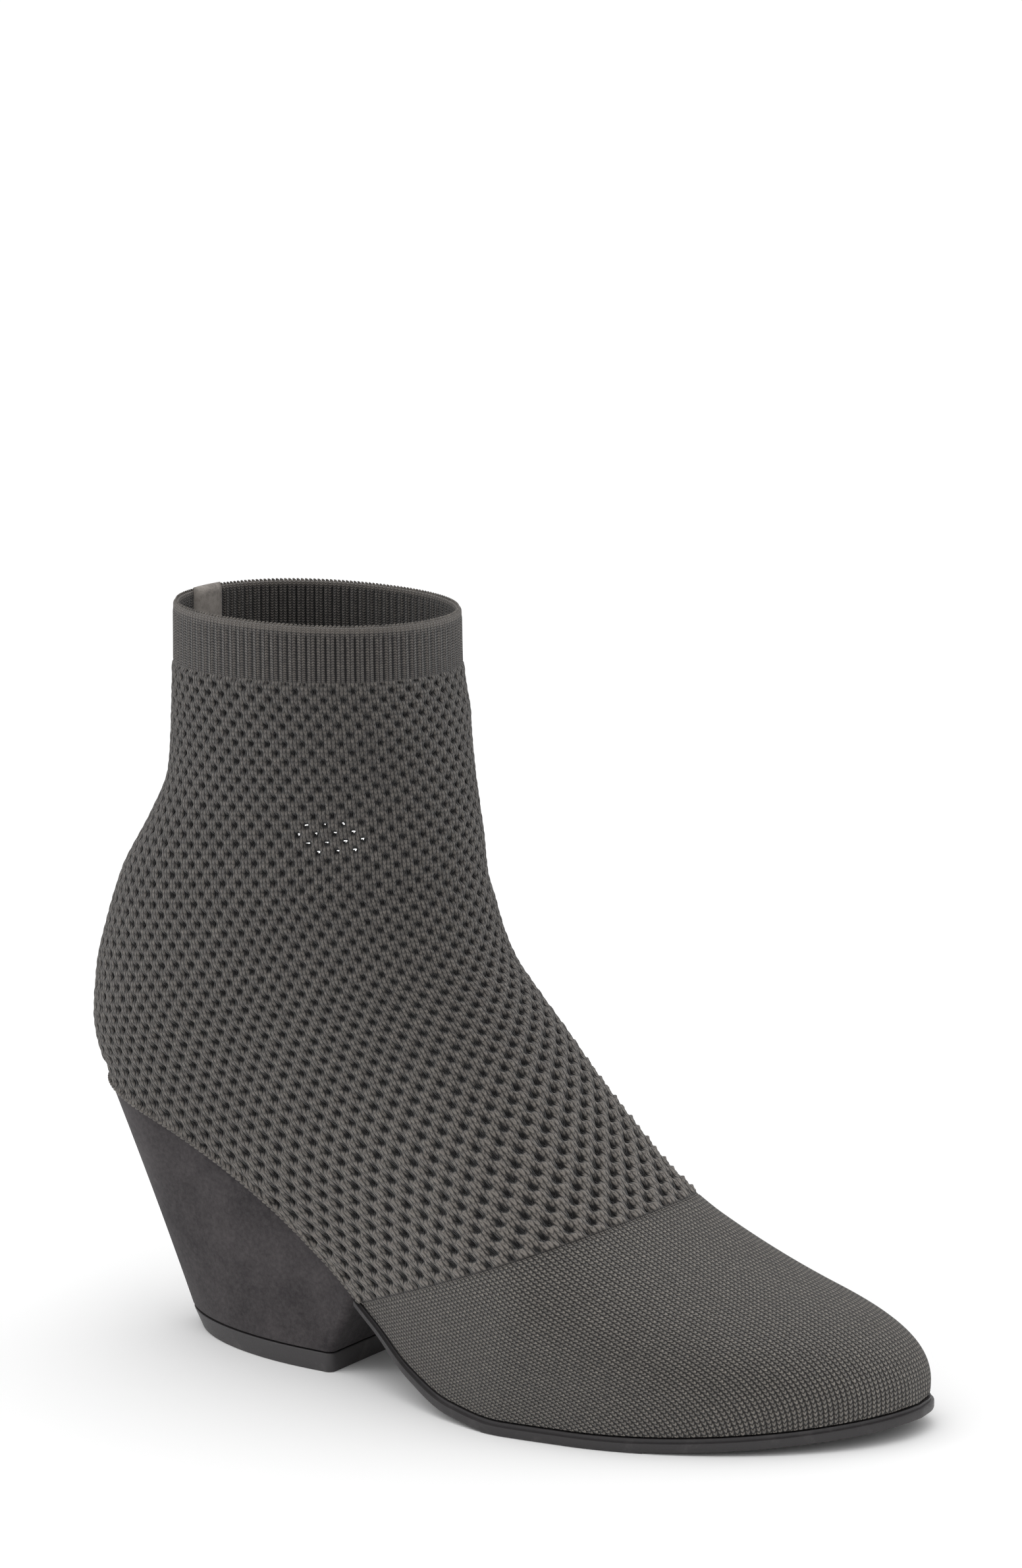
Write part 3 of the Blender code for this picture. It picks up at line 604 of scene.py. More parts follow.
class Graph:
    """A material's node graph, written with short calls."""

    def __init__(self, name: str) -> None:
        """Start a material with a Principled shader."""
        self.material = bpy.data.materials.new(name)
        self.material.use_nodes = True
        self.tree = self.material.node_tree
        self.shader = self.tree.nodes["Principled BSDF"]

    def node(self, kind: str, **settings: object) -> bpy.types.Node:
        """Add a node and set its properties."""
        made = self.tree.nodes.new(kind)
        for key, value in settings.items():
            setattr(made, key, value)
        return made

    def feed(self, socket: bpy.types.NodeSocket, value: object) -> None:
        """Link a socket, or set it where the value is a number or a colour."""
        if isinstance(value, bpy.types.NodeSocket):
            self.tree.links.new(value, socket)
        else:
            socket.default_value = value

    def maths(self, operation: str, first: object, second: object = 0.0,
              third: object = 0.0, clamp: bool = False) -> bpy.types.NodeSocket:
        """One step of arithmetic.

        Args:
            operation: Blender's name of the operation.
            first: Socket or number.
            second: Socket or number.
            third: Socket or number.
            clamp: Whether the result stays between 0 and 1.

        Returns:
            The result's socket.
        """
        made = self.node("ShaderNodeMath", operation=operation, use_clamp=clamp)
        for socket, value in zip(made.inputs, (first, second, third)):
            self.feed(socket, value)
        return made.outputs[0]

    def mix(self, share: object, first: object, second: object) -> bpy.types.NodeSocket:
        """Mix two colours by a share."""
        made = self.node("ShaderNodeMix", data_type="RGBA")
        self.feed(made.inputs[0], share)
        self.feed(made.inputs[6], first)
        self.feed(made.inputs[7], second)
        return made.outputs[2]

    def noise(self, scale: float, detail: float = 3.0, roughness: float = 0.55,
              vector: Optional[bpy.types.NodeSocket] = None) -> bpy.types.NodeSocket:
        """Noise in object space, or on another vector."""
        made = self.node("ShaderNodeTexNoise")
        made.inputs["Scale"].default_value = scale
        made.inputs["Detail"].default_value = detail
        made.inputs["Roughness"].default_value = roughness
        self.feed(made.inputs["Vector"], vector or self.object_place())
        return made.outputs["Fac"]

    def object_place(self) -> bpy.types.NodeSocket:
        """Position in the object's own space."""
        return self.node("ShaderNodeTexCoord").outputs["Object"]

    def stitch_place(self) -> tuple[bpy.types.NodeSocket, bpy.types.NodeSocket]:
        """Wale and course number from the piece's UV map."""
        uv = self.node("ShaderNodeUVMap", uv_map="stitches").outputs[0]
        split = self.node("ShaderNodeSeparateXYZ")
        self.feed(split.inputs[0], uv)
        return split.outputs[0], split.outputs[1]

    def mark(self, name: str) -> bpy.types.NodeSocket:
        """A value kept on the piece's points."""
        return self.node("ShaderNodeAttribute", attribute_name=name).outputs["Fac"]

    def range(self, value: object, low: float, high: float, to_low: float,
              to_high: float) -> bpy.types.NodeSocket:
        """Map a value from one range to another, held at the ends."""
        made = self.node("ShaderNodeMapRange", clamp=True)
        for socket, number in zip(made.inputs, (value, low, high, to_low, to_high)):
            self.feed(socket, number)
        return made.outputs[0]

    def bump(self, height: object, distance: float, strength: float = 1.0,
             under: Optional[bpy.types.NodeSocket] = None) -> bpy.types.NodeSocket:
        """Bump from a height, laid over another bump."""
        made = self.node("ShaderNodeBump")
        made.inputs["Strength"].default_value = strength
        made.inputs["Distance"].default_value = distance
        self.feed(made.inputs["Height"], height)
        if under is not None:
            self.feed(made.inputs["Normal"], under)
        return made.outputs[0]

    def finish(self, **inputs: object) -> bpy.types.Material:
        """Set the shader's inputs and give the material."""
        for name, value in inputs.items():
            self.feed(self.shader.inputs[name.replace("_", " ")], value)
        return self.material


Colour = tuple[float, float, float, float]


def srgb(red: int, green: int, blue: int) -> Colour:
    """A colour given as on screen, as the linear values that a shader takes."""
    linear = []
    for level in (red, green, blue):
        share = level / 255
        linear.append(share / 12.92 if share <= 0.04045 else ((share + 0.055) / 1.055) ** 2.4)
    return (*linear, 1.0)


@dataclass(frozen=True)
class KnitFinish:
    """Yarn in rows of V stitches, with painted shade between them and down in the mesh's pits."""

    name: str
    yarn: Colour
    pale_yarn: Colour
    shadow: Colour
    slant: float = 0.55
    bump: float = 0.00045
    gap_share: float = 0.95
    wale_power: float = 0.8
    loop_power: float = 0.35
    fork: float = 0.35
    full_at: float = 0.75
    unevenness: float = 0.35
    shade: float = 0.35
    sheen: float = 0.22

    def material(self) -> bpy.types.Material:
        """The knit's material."""
        g = Graph(self.name)
        wale, course = g.stitch_place()
        wobble = g.maths("MULTIPLY", g.maths("SUBTRACT", g.noise(420.0, 3.0, 0.6), 0.5), self.unevenness)
        wale = g.maths("ADD", wale, wobble)
        inside = g.maths("FRACT", wale)
        leg = g.maths("MULTIPLY", g.maths("ABSOLUTE", g.maths("SUBTRACT", inside, 0.5)), 2.0)
        hump = g.maths("SINE", g.maths("MULTIPLY", inside, math.pi))
        hump = g.maths("POWER", g.maths("MAXIMUM", hump, 0.0), self.wale_power)
        legs = g.maths("MULTIPLY", hump, g.range(leg, 0.0, 0.3, 1.0 - self.fork, 1.0))
        slid = g.maths("ADD", g.maths("ADD", course, wobble), g.maths("MULTIPLY", leg, self.slant))
        loop = g.maths("SINE", g.maths("MULTIPLY", g.maths("FRACT", slid), math.pi))
        loop = g.maths("POWER", g.maths("MAXIMUM", loop, 0.0), self.loop_power)
        stitch = g.maths("MULTIPLY", legs, loop)
        fuzz = g.noise(5200.0, 2.0, 0.6)
        height = g.maths("ADD", stitch, g.maths("MULTIPLY", fuzz, 0.3))
        tone = g.range(g.noise(900.0, 4.0, 0.65), 0.36, 0.66, 0.0, 0.8)
        tone = g.maths("ADD", tone, g.maths("MULTIPLY", g.mark("foot"), 0.75), clamp=True)
        yarn = g.mix(tone, self.yarn, self.pale_yarn)
        # Painted shade between the stitches: the gaps go towards the shadow colour.
        lit = g.range(stitch, 0.10, self.full_at, 1.0 - self.gap_share, 1.0)
        knit = g.mix(lit, self.shadow, yarn)
        # Painted shade in the pits: near black in their middles, with a softer painted halo of shade
        # around each.
        painted_pit_shade = g.maths("ADD", g.mark("pit"), g.maths("MULTIPLY", g.maths("SUBTRACT", 0.5, stitch), 0.3))
        painted_pit_halo = g.maths("MULTIPLY", g.maths("POWER", g.mark("pit"), 0.35), self.shade)
        knit = g.mix(painted_pit_halo, knit, self.shadow)
        colour = g.mix(g.range(painted_pit_shade, 0.18, 0.56, 0.0, 1.0), knit, self.shadow)
        colour = g.mix(g.maths("MULTIPLY", g.mark("nub"), 0.75, clamp=True), colour, self.pale_yarn)
        return g.finish(Base_Color=colour, Roughness=0.9, Normal=g.bump(height, self.bump),
                        Sheen_Weight=self.sheen, Sheen_Roughness=0.5, Specular_IOR_Level=0.2)


@dataclass(frozen=True)
class YarnFinish:
    """Single stitches of yarn, uneven in tone."""

    name: str
    yarn: Colour
    pale_yarn: Colour

    def material(self) -> bpy.types.Material:
        """The yarn's material."""
        g = Graph(self.name)
        tone = g.range(g.noise(700.0, 4.0, 0.7), 0.35, 0.65, 0.0, 1.0)
        fibre = g.noise(4200.0, 2.0, 0.6)
        return g.finish(Base_Color=g.mix(tone, self.yarn, self.pale_yarn), Roughness=0.9,
                        Normal=g.bump(fibre, 0.0002), Sheen_Weight=0.2, Specular_IOR_Level=0.2)


@dataclass(frozen=True)
class SuedeFinish:
    """Napped leather, mottled where the nap lies differently."""

    name: str
    colour: Colour
    brushed: Colour
    nap: float = 0.00012

    def material(self) -> bpy.types.Material:
        """The suede's material."""
        g = Graph(self.name)
        cloud = g.noise(42.0, 5.0, 0.62)
        grain = g.noise(820.0, 4.0, 0.72)
        fibre = g.noise(3600.0, 2.0, 0.7)
        lie = g.range(g.maths("ADD", g.maths("MULTIPLY", cloud, 0.75), g.maths("MULTIPLY", grain, 0.55)),
                      0.50, 0.80, 0.0, 1.0)
        colour = g.mix(lie, self.colour, self.brushed)
        height = g.maths("ADD", g.maths("MULTIPLY", grain, 0.6), fibre)
        return g.finish(Base_Color=colour, Roughness=0.95, Normal=g.bump(height, self.nap),
                        Sheen_Weight=0.07, Sheen_Roughness=0.6, Specular_IOR_Level=0.15)


@dataclass(frozen=True)
class MouldedFinish:
    """Moulded rubber or plastic with a fine matt skin."""

    name: str
    colour: Colour
    scuffed: Colour
    roughness: float = 0.5
    grain: float = 0.00004

    def material(self) -> bpy.types.Material:
        """The moulded material."""
        g = Graph(self.name)
        wear = g.range(g.noise(140.0, 5.0, 0.7), 0.55, 0.75, 0.0, 0.6)
        colour = g.mix(wear, self.colour, self.scuffed)
        skin = g.noise(2600.0, 2.0, 0.5)
        rough = g.range(skin, 0.3, 0.7, self.roughness - 0.08, self.roughness + 0.1)
        return g.finish(Base_Color=colour, Roughness=rough, Normal=g.bump(skin, self.grain),
                        Specular_IOR_Level=0.4)


class Pitch(NamedTuple):
    """Spacing of the mesh knit's pits at a share of the way from rib line to toe line."""

    share: float
    across: float
    down: float
    width: float
    above: float
    below: float
    depth: float
    nub: float


PITCHES = (
    Pitch(0.00, 0.0051, 0.00225, 0.190, 0.44, 0.36, 0.00130, 0.0),
    Pitch(0.45, 0.0052, 0.00235, 0.200, 0.46, 0.36, 0.00145, 0.0),
    Pitch(0.62, 0.0057, 0.00275, 0.215, 0.52, 0.32, 0.00155, 0.1),
    Pitch(0.80, 0.0065, 0.00335, 0.205, 0.64, 0.24, 0.00160, 0.9),
    Pitch(1.00, 0.0070, 0.00360, 0.205, 0.68, 0.22, 0.00165, 1.0),
)


@dataclass
class StitchRow:
    """A row of slanted stitches along a line, laid by Geometry Nodes."""

    name: str
    line: np.ndarray
    out: np.ndarray
    pitch: float
    length: float
    width: float
    height: float
    slant: float = 0.45

    def places(self) -> bpy.types.Object:
        """The stitches' places, with the way that each one lies."""
        travel = np.concatenate([[0.0], np.cumsum(np.linalg.norm(np.diff(self.line, axis=0), axis=1))])
        wanted = np.arange(self.pitch / 2, travel[-1], self.pitch)
        point = np.stack([np.interp(wanted, travel, axis) for axis in self.line.T], axis=1)
        out = np.stack([np.interp(wanted, travel, axis) for axis in self.out.T], axis=1)
        along = np.gradient(point, axis=0)
        along /= np.linalg.norm(along, axis=1, keepdims=True)
        lean = along * math.cos(self.slant) + np.cross(out, along) * math.sin(self.slant)
        mesh = bpy.data.meshes.new(self.name)
        mesh.from_pydata(point.tolist(), [], [])
        for name, values in (("along", lean), ("out", out)):
            layer = mesh.attributes.new(name, "FLOAT_VECTOR", "POINT")
            layer.data.foreach_set("vector", values.astype(np.float32).ravel())
        piece = bpy.data.objects.new(self.name + "_places", mesh)
        bpy.context.scene.collection.objects.link(piece)
        return piece

    def group(self) -> bpy.types.NodeTree:
        """Node group that lays one rounded stitch on each place."""
        tree = bpy.data.node_groups.new(self.name, "GeometryNodeTree")
        tree.interface.new_socket("Geometry", in_out="INPUT", socket_type="NodeSocketGeometry")
        tree.interface.new_socket("Size", in_out="INPUT", socket_type="NodeSocketVector")
        tree.interface.new_socket("Finish", in_out="INPUT", socket_type="NodeSocketMaterial")
        tree.interface.new_socket("Geometry", in_out="OUTPUT", socket_type="NodeSocketGeometry")
        make, link = tree.nodes.new, tree.links.new
        given, result = make("NodeGroupInput"), make("NodeGroupOutput")
        ball = make("GeometryNodeMeshUVSphere")
        ball.inputs["Segments"].default_value = 10
        ball.inputs["Rings"].default_value = 6
        ball.inputs["Radius"].default_value = 0.5
        turn = None
        for axis, name in (("X", "along"), ("Z", "out")):
            read = make("GeometryNodeInputNamedAttribute")
            read.data_type = "FLOAT_VECTOR"
            read.inputs["Name"].default_value = name
            align = make("FunctionNodeAlignRotationToVector")
            align.axis = axis
            link(read.outputs["Attribute"], align.inputs["Vector"])
            if turn is not None:
                align.pivot_axis = "X"
                link(turn, align.inputs["Rotation"])
            turn = align.outputs["Rotation"]
        lay = make("GeometryNodeInstanceOnPoints")
        real = make("GeometryNodeRealizeInstances")
        soft = make("GeometryNodeSetShadeSmooth")
        coat = make("GeometryNodeSetMaterial")
        link(given.outputs["Geometry"], lay.inputs["Points"])
        link(ball.outputs["Mesh"], lay.inputs["Instance"])
        link(turn, lay.inputs["Rotation"])
        link(given.outputs["Size"], lay.inputs["Scale"])
        link(lay.outputs["Instances"], real.inputs["Geometry"])
        link(real.outputs["Geometry"], soft.inputs["Geometry"])
        link(soft.outputs["Geometry"], coat.inputs["Geometry"])
        link(given.outputs["Finish"], coat.inputs["Material"])
        link(coat.outputs["Geometry"], result.inputs["Geometry"])
        return tree

    def build(self, material: bpy.types.Material) -> bpy.types.Object:
        """Lay the stitches and make them one plain mesh."""
        places = self.places()
        modifier = places.modifiers.new("stitches", "NODES")
        modifier.node_group = self.group()
        sockets = {item.name: item.identifier for item in modifier.node_group.interface.items_tree
                   if item.in_out == "INPUT"}
        modifier[sockets["Size"]] = (self.length, self.width, self.height)
        modifier[sockets["Finish"]] = material
        seen = places.evaluated_get(bpy.context.evaluated_depsgraph_get())
        mesh = bpy.data.meshes.new_from_object(seen)
        bpy.data.objects.remove(places)
        piece = bpy.data.objects.new(self.name, mesh)
        bpy.context.scene.collection.objects.link(piece)
        return piece


@dataclass
class Sock:
    """The knitted upper: ribbed collar, mesh leg and foot, plain toe, and its inner face."""

    last: Last
    courses: CourseField
    studio: "Studio"
    mesh_step: float = 0.0005
    wall: float = 0.0016
    columns: int = 546
    samples_per_row: int = 8
    ribs: int = 91
    rib_height: float = 0.00045
    rib_stitch: float = 0.00074
    plain_rim: float = 0.0021
    wales_per_pit: float = 5.0
    courses_per_row: float = 2.0
    toe_wale: float = 0.00140
    toe_course: float = 0.00120
    toe_row: float = 0.00062
    toe_columns: int = 360
    linking_width: float = 0.00035
    linking_depth: float = 0.00025
    nub_height: float = 0.00055
    fade: float = 0.0018
    lip: float = 0.0024
    lip_height: float = 0.00035
    leg_pieces: int = 4
    even_span: int = 24
    steps_up_shaft: float = 9.0
    steps_inside: float = 1.6
    lining_columns: int = 150
    opening: tuple[float, float] = (0.00042, 0.00028)
    inner_opening: tuple[float, float] = (0.0014, 0.0014)
    pieces: list[bpy.types.Object] = field(default_factory=list)

    def pitch(self, share: np.ndarray, name: str) -> np.ndarray:
        """A column of the pitch table at any share of the way down."""
        return np.interp(share, [row.share for row in PITCHES],
                         [getattr(row, name) for row in PITCHES])

    def mesh_rows(self) -> tuple[np.ndarray, np.ndarray]:
        """Courses of the mesh knit's grid rows, and the pit row at each."""
        start, end = self.courses.rib_course, self.courses.toe_course
        fine = np.linspace(start, end, 2000)
        spacing = self.pitch((fine - start) / (end - start), "down")
        count = np.concatenate([[0.0], np.cumsum(np.diff(fine) / ((spacing[1:] + spacing[:-1]) / 2))])
        rows = int(count[-1] * self.samples_per_row)
        wanted = np.linspace(0.0, count[-1], rows + 1)
        return np.interp(wanted, count, fine), wanted

    def pits(self, across: np.ndarray, down: np.ndarray, share: np.ndarray
             ) -> tuple[np.ndarray, np.ndarray]:
        """Pits and nubs of the mesh, on a lattice whose alternate rows are shifted by half.

        Args:
            across: Pit number along the course.
            down: Pit row number.
            share: Share of the way from rib line to toe line.

        Returns:
            Pit strength, which also sets the painted shade in the finish, and nub strength, 0 to 1.
        """
        pit = np.zeros_like(across)
        nub = np.zeros_like(across)
        width = self.pitch(share, "width")
        above = self.pitch(share, "above")
        below = self.pitch(share, "below")
        for shift in (0, 1):
            a = across - 0.5 * shift
            a = a - np.round(a)
            b = down - shift
            b = b - 2.0 * np.round(b / 2.0)
            reach = np.where(b < 0.0, above, below)
            pit += np.exp(-(a / width) ** 2 - (b / reach) ** 2)
            nub += np.exp(-(a / 0.10) ** 2 - ((b - 0.46) / 0.17) ** 2)
        return np.minimum(pit, 1.0), np.minimum(nub, 1.0) * self.pitch(share, "nub")

    def place(self, grid: np.ndarray) -> np.ndarray:
        """Points of the last moved into the frame."""
        return grid + self.last.origin

    def build_leg(self, material: bpy.types.Material) -> None:
        """The mesh knit from the rib line to the toe line, in bands of courses."""
        rows, pit_row = self.mesh_rows()
        grid, arc = self.courses.rows(rows, self.columns, self.even_span)
        start, end = self.courses.rib_course, self.courses.toe_course
        share = ((rows - start) / (end - start))[:, None] + np.zeros_like(arc)
        across = arc / self.pitch(share, "across")
        down = pit_row[:, None] + np.zeros_like(arc)
        sway = 0.05 * np.sin(down * 0.37 + across * 0.9) + 0.04 * np.sin(across * 0.53 - down * 0.21)
        pit, nub = self.pits(across + sway * 0.5, down + sway, share)
        closed = np.linalg.norm(grid[:, 0] - grid[:, -1], axis=1) < 1e-4
        from_foot = np.minimum(arc - arc[:, :1], arc[:, -1:] - arc)
        from_foot = np.where(closed[:, None], self.lip * 4, from_foot)
        edge = smooth(0.0, self.fade, end - rows)[:, None] * smooth(self.lip * 0.4, self.lip, from_foot)
        top = smooth(0.0, 0.0006, rows - start)[:, None]
        pit = pit * edge * top
        nub = nub * edge * top
        depth = self.pitch(share, "depth")
        rise = self.mesh_step * smooth(0.0, 0.0008, rows - start)[:, None] * smooth(
            0.0, 0.0010, end - rows)[:, None]
        linking = np.exp(-((rows - end + 0.0004) / self.linking_width) ** 2)[:, None]
        height = rise - pit * depth + nub * self.nub_height
        height = height - linking * self.linking_depth
        opened = np.cumsum(~closed)[:, None] / (self.even_span * 1.5)
        lip = np.exp(-((from_foot - self.lip * 0.35) / (self.lip * 0.3)) ** 2)
        height += self.lip_height * lip * np.minimum(opened, 1.0)
        # The linking line also gets painted shade, through the pit mark.
        pit = np.maximum(pit, 0.55 * linking)
        normals = steady_normals(grid, arc, closed)
        relief = self.place(swollen(grid, normals) + normals * height[..., None])
        stitches = np.stack([across * self.wales_per_pit, down * self.courses_per_row], axis=-1)
        relief[closed, -1] = relief[closed, 0]
        lines = self.studio.open_lines(relief, normals, pit)
        gone = self.studio.along_lines(relief, lines, self.opening)
        first = gathered(arc)
        cuts = np.linspace(0, len(rows) - 1, self.leg_pieces + 1).astype(int)
        for number, (low, high) in enumerate(zip(cuts[:-1], cuts[1:]), start=1):
            band = slice(low, high + 1)
            piece = grid_object(f"knit_leg_{number}", relief[band], stitches[band], closed[band],
                                marks={"pit": pit[band], "nub": nub[band], "foot": share[band] ** 2},
                                gone=gone[low:high], first=first[band])
            self.dress(piece, material, Slot.KNIT)
        self.sight_lines = lines
        self.foot_edge(relief, normals, closed)

    def foot_edge(self, relief: np.ndarray, normals: np.ndarray, closed: np.ndarray) -> None:
        """Rows of larger stitches along the feather line, from the heel's back to the toe line."""
        for name, column in (("outer_foot_stitches", 0), ("inner_foot_stitches", -1)):
            line, out = relief[~closed, column], normals[~closed, column]
            row = StitchRow(name, line, out, pitch=0.0017, length=0.0024, width=0.0010, height=0.0008)
            self.dress(row.build(EDGE_YARN.material()), None, Slot.KNIT)

    def build_toe(self, material: bpy.types.Material) -> None:
        """The plain knit toe, from the linking line to the tip."""
        start, end = self.courses.toe_course, self.courses.tip_course
        count = int((end - start) / self.toe_row)
        rows = np.linspace(start, end - 1e-5, count + 1)
        grid, arc = self.courses.rows(rows, self.toe_columns)
        normals = grid_normals(grid)
        normals[-1] = (1.0, 0.0, 0.0)
        linking = np.exp(-((rows - start) / self.linking_width) ** 2)
        height = -linking[:, None] * self.linking_depth + np.zeros_like(arc)
        relief = self.place(grid + normals * height[..., None])
        course = ((rows - start) / self.toe_course)[:, None] + np.zeros_like(arc)
        stitches = np.stack([arc / self.toe_wale, course], axis=-1)
        nothing = np.zeros_like(arc)
        piece = grid_object("knit_toe", relief, stitches, pole=True,
                            marks={"pit": nothing, "nub": nothing})
        self.dress(piece, material, Slot.KNIT)

    def build_collar(self, material: bpy.types.Material) -> None:
        """The ribbed collar, rolled over its rim and down the inside."""
        roll = self.wall / 2
        rim_step = self.last.last_section - roll / self.last.shaft_rise * self.steps_up_shaft
        top_steps = np.linspace(self.last.rib_from, rim_step, 34)
        raw = np.array([self.last.section_points(step, self.last.columns) for step in top_steps])
        outer = np.array([even_points(line, self.columns) for line in raw])
        normals = grid_normals(outer)
        phase = np.linspace(-0.5, 0.5, self.columns + 1) * self.ribs
        rib = smooth(0.10, 0.75, np.abs(np.cos(math.pi * phase)))
        below_rim = np.linalg.norm(outer[-1] - outer, axis=2)
        above_mesh = np.linalg.norm(outer - outer[0], axis=2)
        fade = smooth(self.plain_rim * 0.5, self.plain_rim, below_rim) * smooth(0.0, 0.0006, above_mesh)
        ribbed = outer + normals * (self.rib_height * (rib - 0.75) * fade)[..., None]
        edge, lean = outer[-1], normals[-1]
        turn = np.linspace(0.0, math.pi, 11)[1:]
        over = np.array([edge + lean * (roll * (math.cos(angle) - 1.0))
                         + np.array((0.0, 0.0, roll * math.sin(angle))) for angle in turn])
        inner_steps = np.linspace(rim_step, self.last.rib_from - self.steps_inside, 60)[1:]
        inner_raw = np.array([self.last.section_points(step, self.last.columns)
                              for step in inner_steps])
        inner_line = np.array([even_points(line, self.columns) for line in inner_raw])
        inner_normals = grid_normals(inner_line)
        depth = self.wall + self.rib_height * (rib - 0.5) * smooth(
            0.0, 0.0010, np.linalg.norm(inner_line[0] - inner_line, axis=2))
        inner = inner_line - inner_normals * depth[..., None]
        grid = np.concatenate([ribbed, over, inner])
        travel = np.cumsum(np.concatenate([[0.0], np.linalg.norm(
            np.diff(grid[:, 0], axis=0), axis=1)]))
        wale = np.linspace(-0.5, 0.5, self.columns + 1) * self.ribs * 2
        stitches = np.stack(np.broadcast_arrays(wale[None, :], (travel / self.rib_stitch)[:, None]),
                            axis=-1)
        # Painted shade, kept in the pit mark: in the rib grooves outside, and on the turned-in part, more
        # of it further down inside and in its grooves.
        groove = np.zeros(grid.shape[:2])
        groove[:len(ribbed)] = (0.75 * (1.0 - rib))[None, :] * fade
        below = np.arange(1, len(inner) + 1)[:, None] / len(inner)
        groove[-len(inner):] = np.clip(0.10 + 0.20 * below + 0.5 * (1.0 - rib)[None, :], 0.0, 1.0)
        pale = np.zeros_like(groove)
        pale[len(ribbed) - 2:len(ribbed) + len(over)] = 0.55
        closed = np.ones(len(grid), dtype=bool)
        piece = grid_object("knit_collar", self.place(grid), stitches, closed,
                            marks={"pit": groove, "nub": pale})
        self.dress(piece, material, Slot.KNIT)
        crest = self.place(over[4])
        row = StitchRow("rim_stitches", crest, lean, pitch=0.00115, length=0.0015, width=0.0008,
                        height=0.0006, slant=0.7)
        self.dress(row.build(EDGE_YARN.material()), None, Slot.KNIT)

    def build_inner_face(self, material: bpy.types.Material) -> None:
        """The inner face of the knit, below the collar's turned-in part."""
        steps = np.linspace(-self.last.toe_sections, self.last.rib_from - self.steps_inside, 170)
        raw = np.array([self.last.section_points(step, self.last.columns) for step in steps])
        grid = np.array([even_points(line, self.lining_columns) for line in raw])[::-1]
        normals = grid_normals(grid)
        normals[-1] = (1.0, 0.0, 0.0)
        inner = grid - normals * self.wall
        travel = np.cumsum(np.concatenate([[0.0], np.linalg.norm(
            np.diff(grid[:, self.lining_columns // 2], axis=0), axis=1)]))
        wale = np.linspace(-0.5, 0.5, self.lining_columns + 1) * self.ribs * 2
        stitches = np.stack(np.broadcast_arrays(wale[None, :], (travel / self.rib_stitch)[:, None]),
                            axis=-1)
        closed = steps[::-1] >= self.last.closed_from
        # An even painted shade over the whole inner face, kept in the pit mark.
        nothing = np.full(grid.shape[:2], 0.3)
        gone = self.studio.along_lines(self.place(inner), self.sight_lines, self.inner_opening)
        piece = grid_object("knit_inner_face", self.place(inner), stitches, closed, pole=True,
                            marks={"pit": nothing, "nub": nothing * 0.0}, inside=True, gone=gone)
        self.dress(piece, material, Slot.KNIT)

    def dress(self, piece: bpy.types.Object, material: Optional[bpy.types.Material],
              slot: Slot) -> None:
        """Give a piece its material where it has none, and its body."""
        if material is not None:
            piece.data.materials.append(material)
        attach(piece, BODY)
        self.pieces.append(piece)
        LOG.info("%s: %d faces", piece.name, len(piece.data.polygons))

    def build(self) -> None:
        """Build every knit piece, which together stand for the upper."""
        self.build_leg(MESH_KNIT.material())
        self.build_toe(PLAIN_KNIT.material())
        self.build_collar(RIB_KNIT.material())
        self.build_inner_face(INNER_KNIT.material())
        LOG.info("see-through pits: %d", len(self.sight_lines))
        for piece in self.pieces:
            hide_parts("upper")


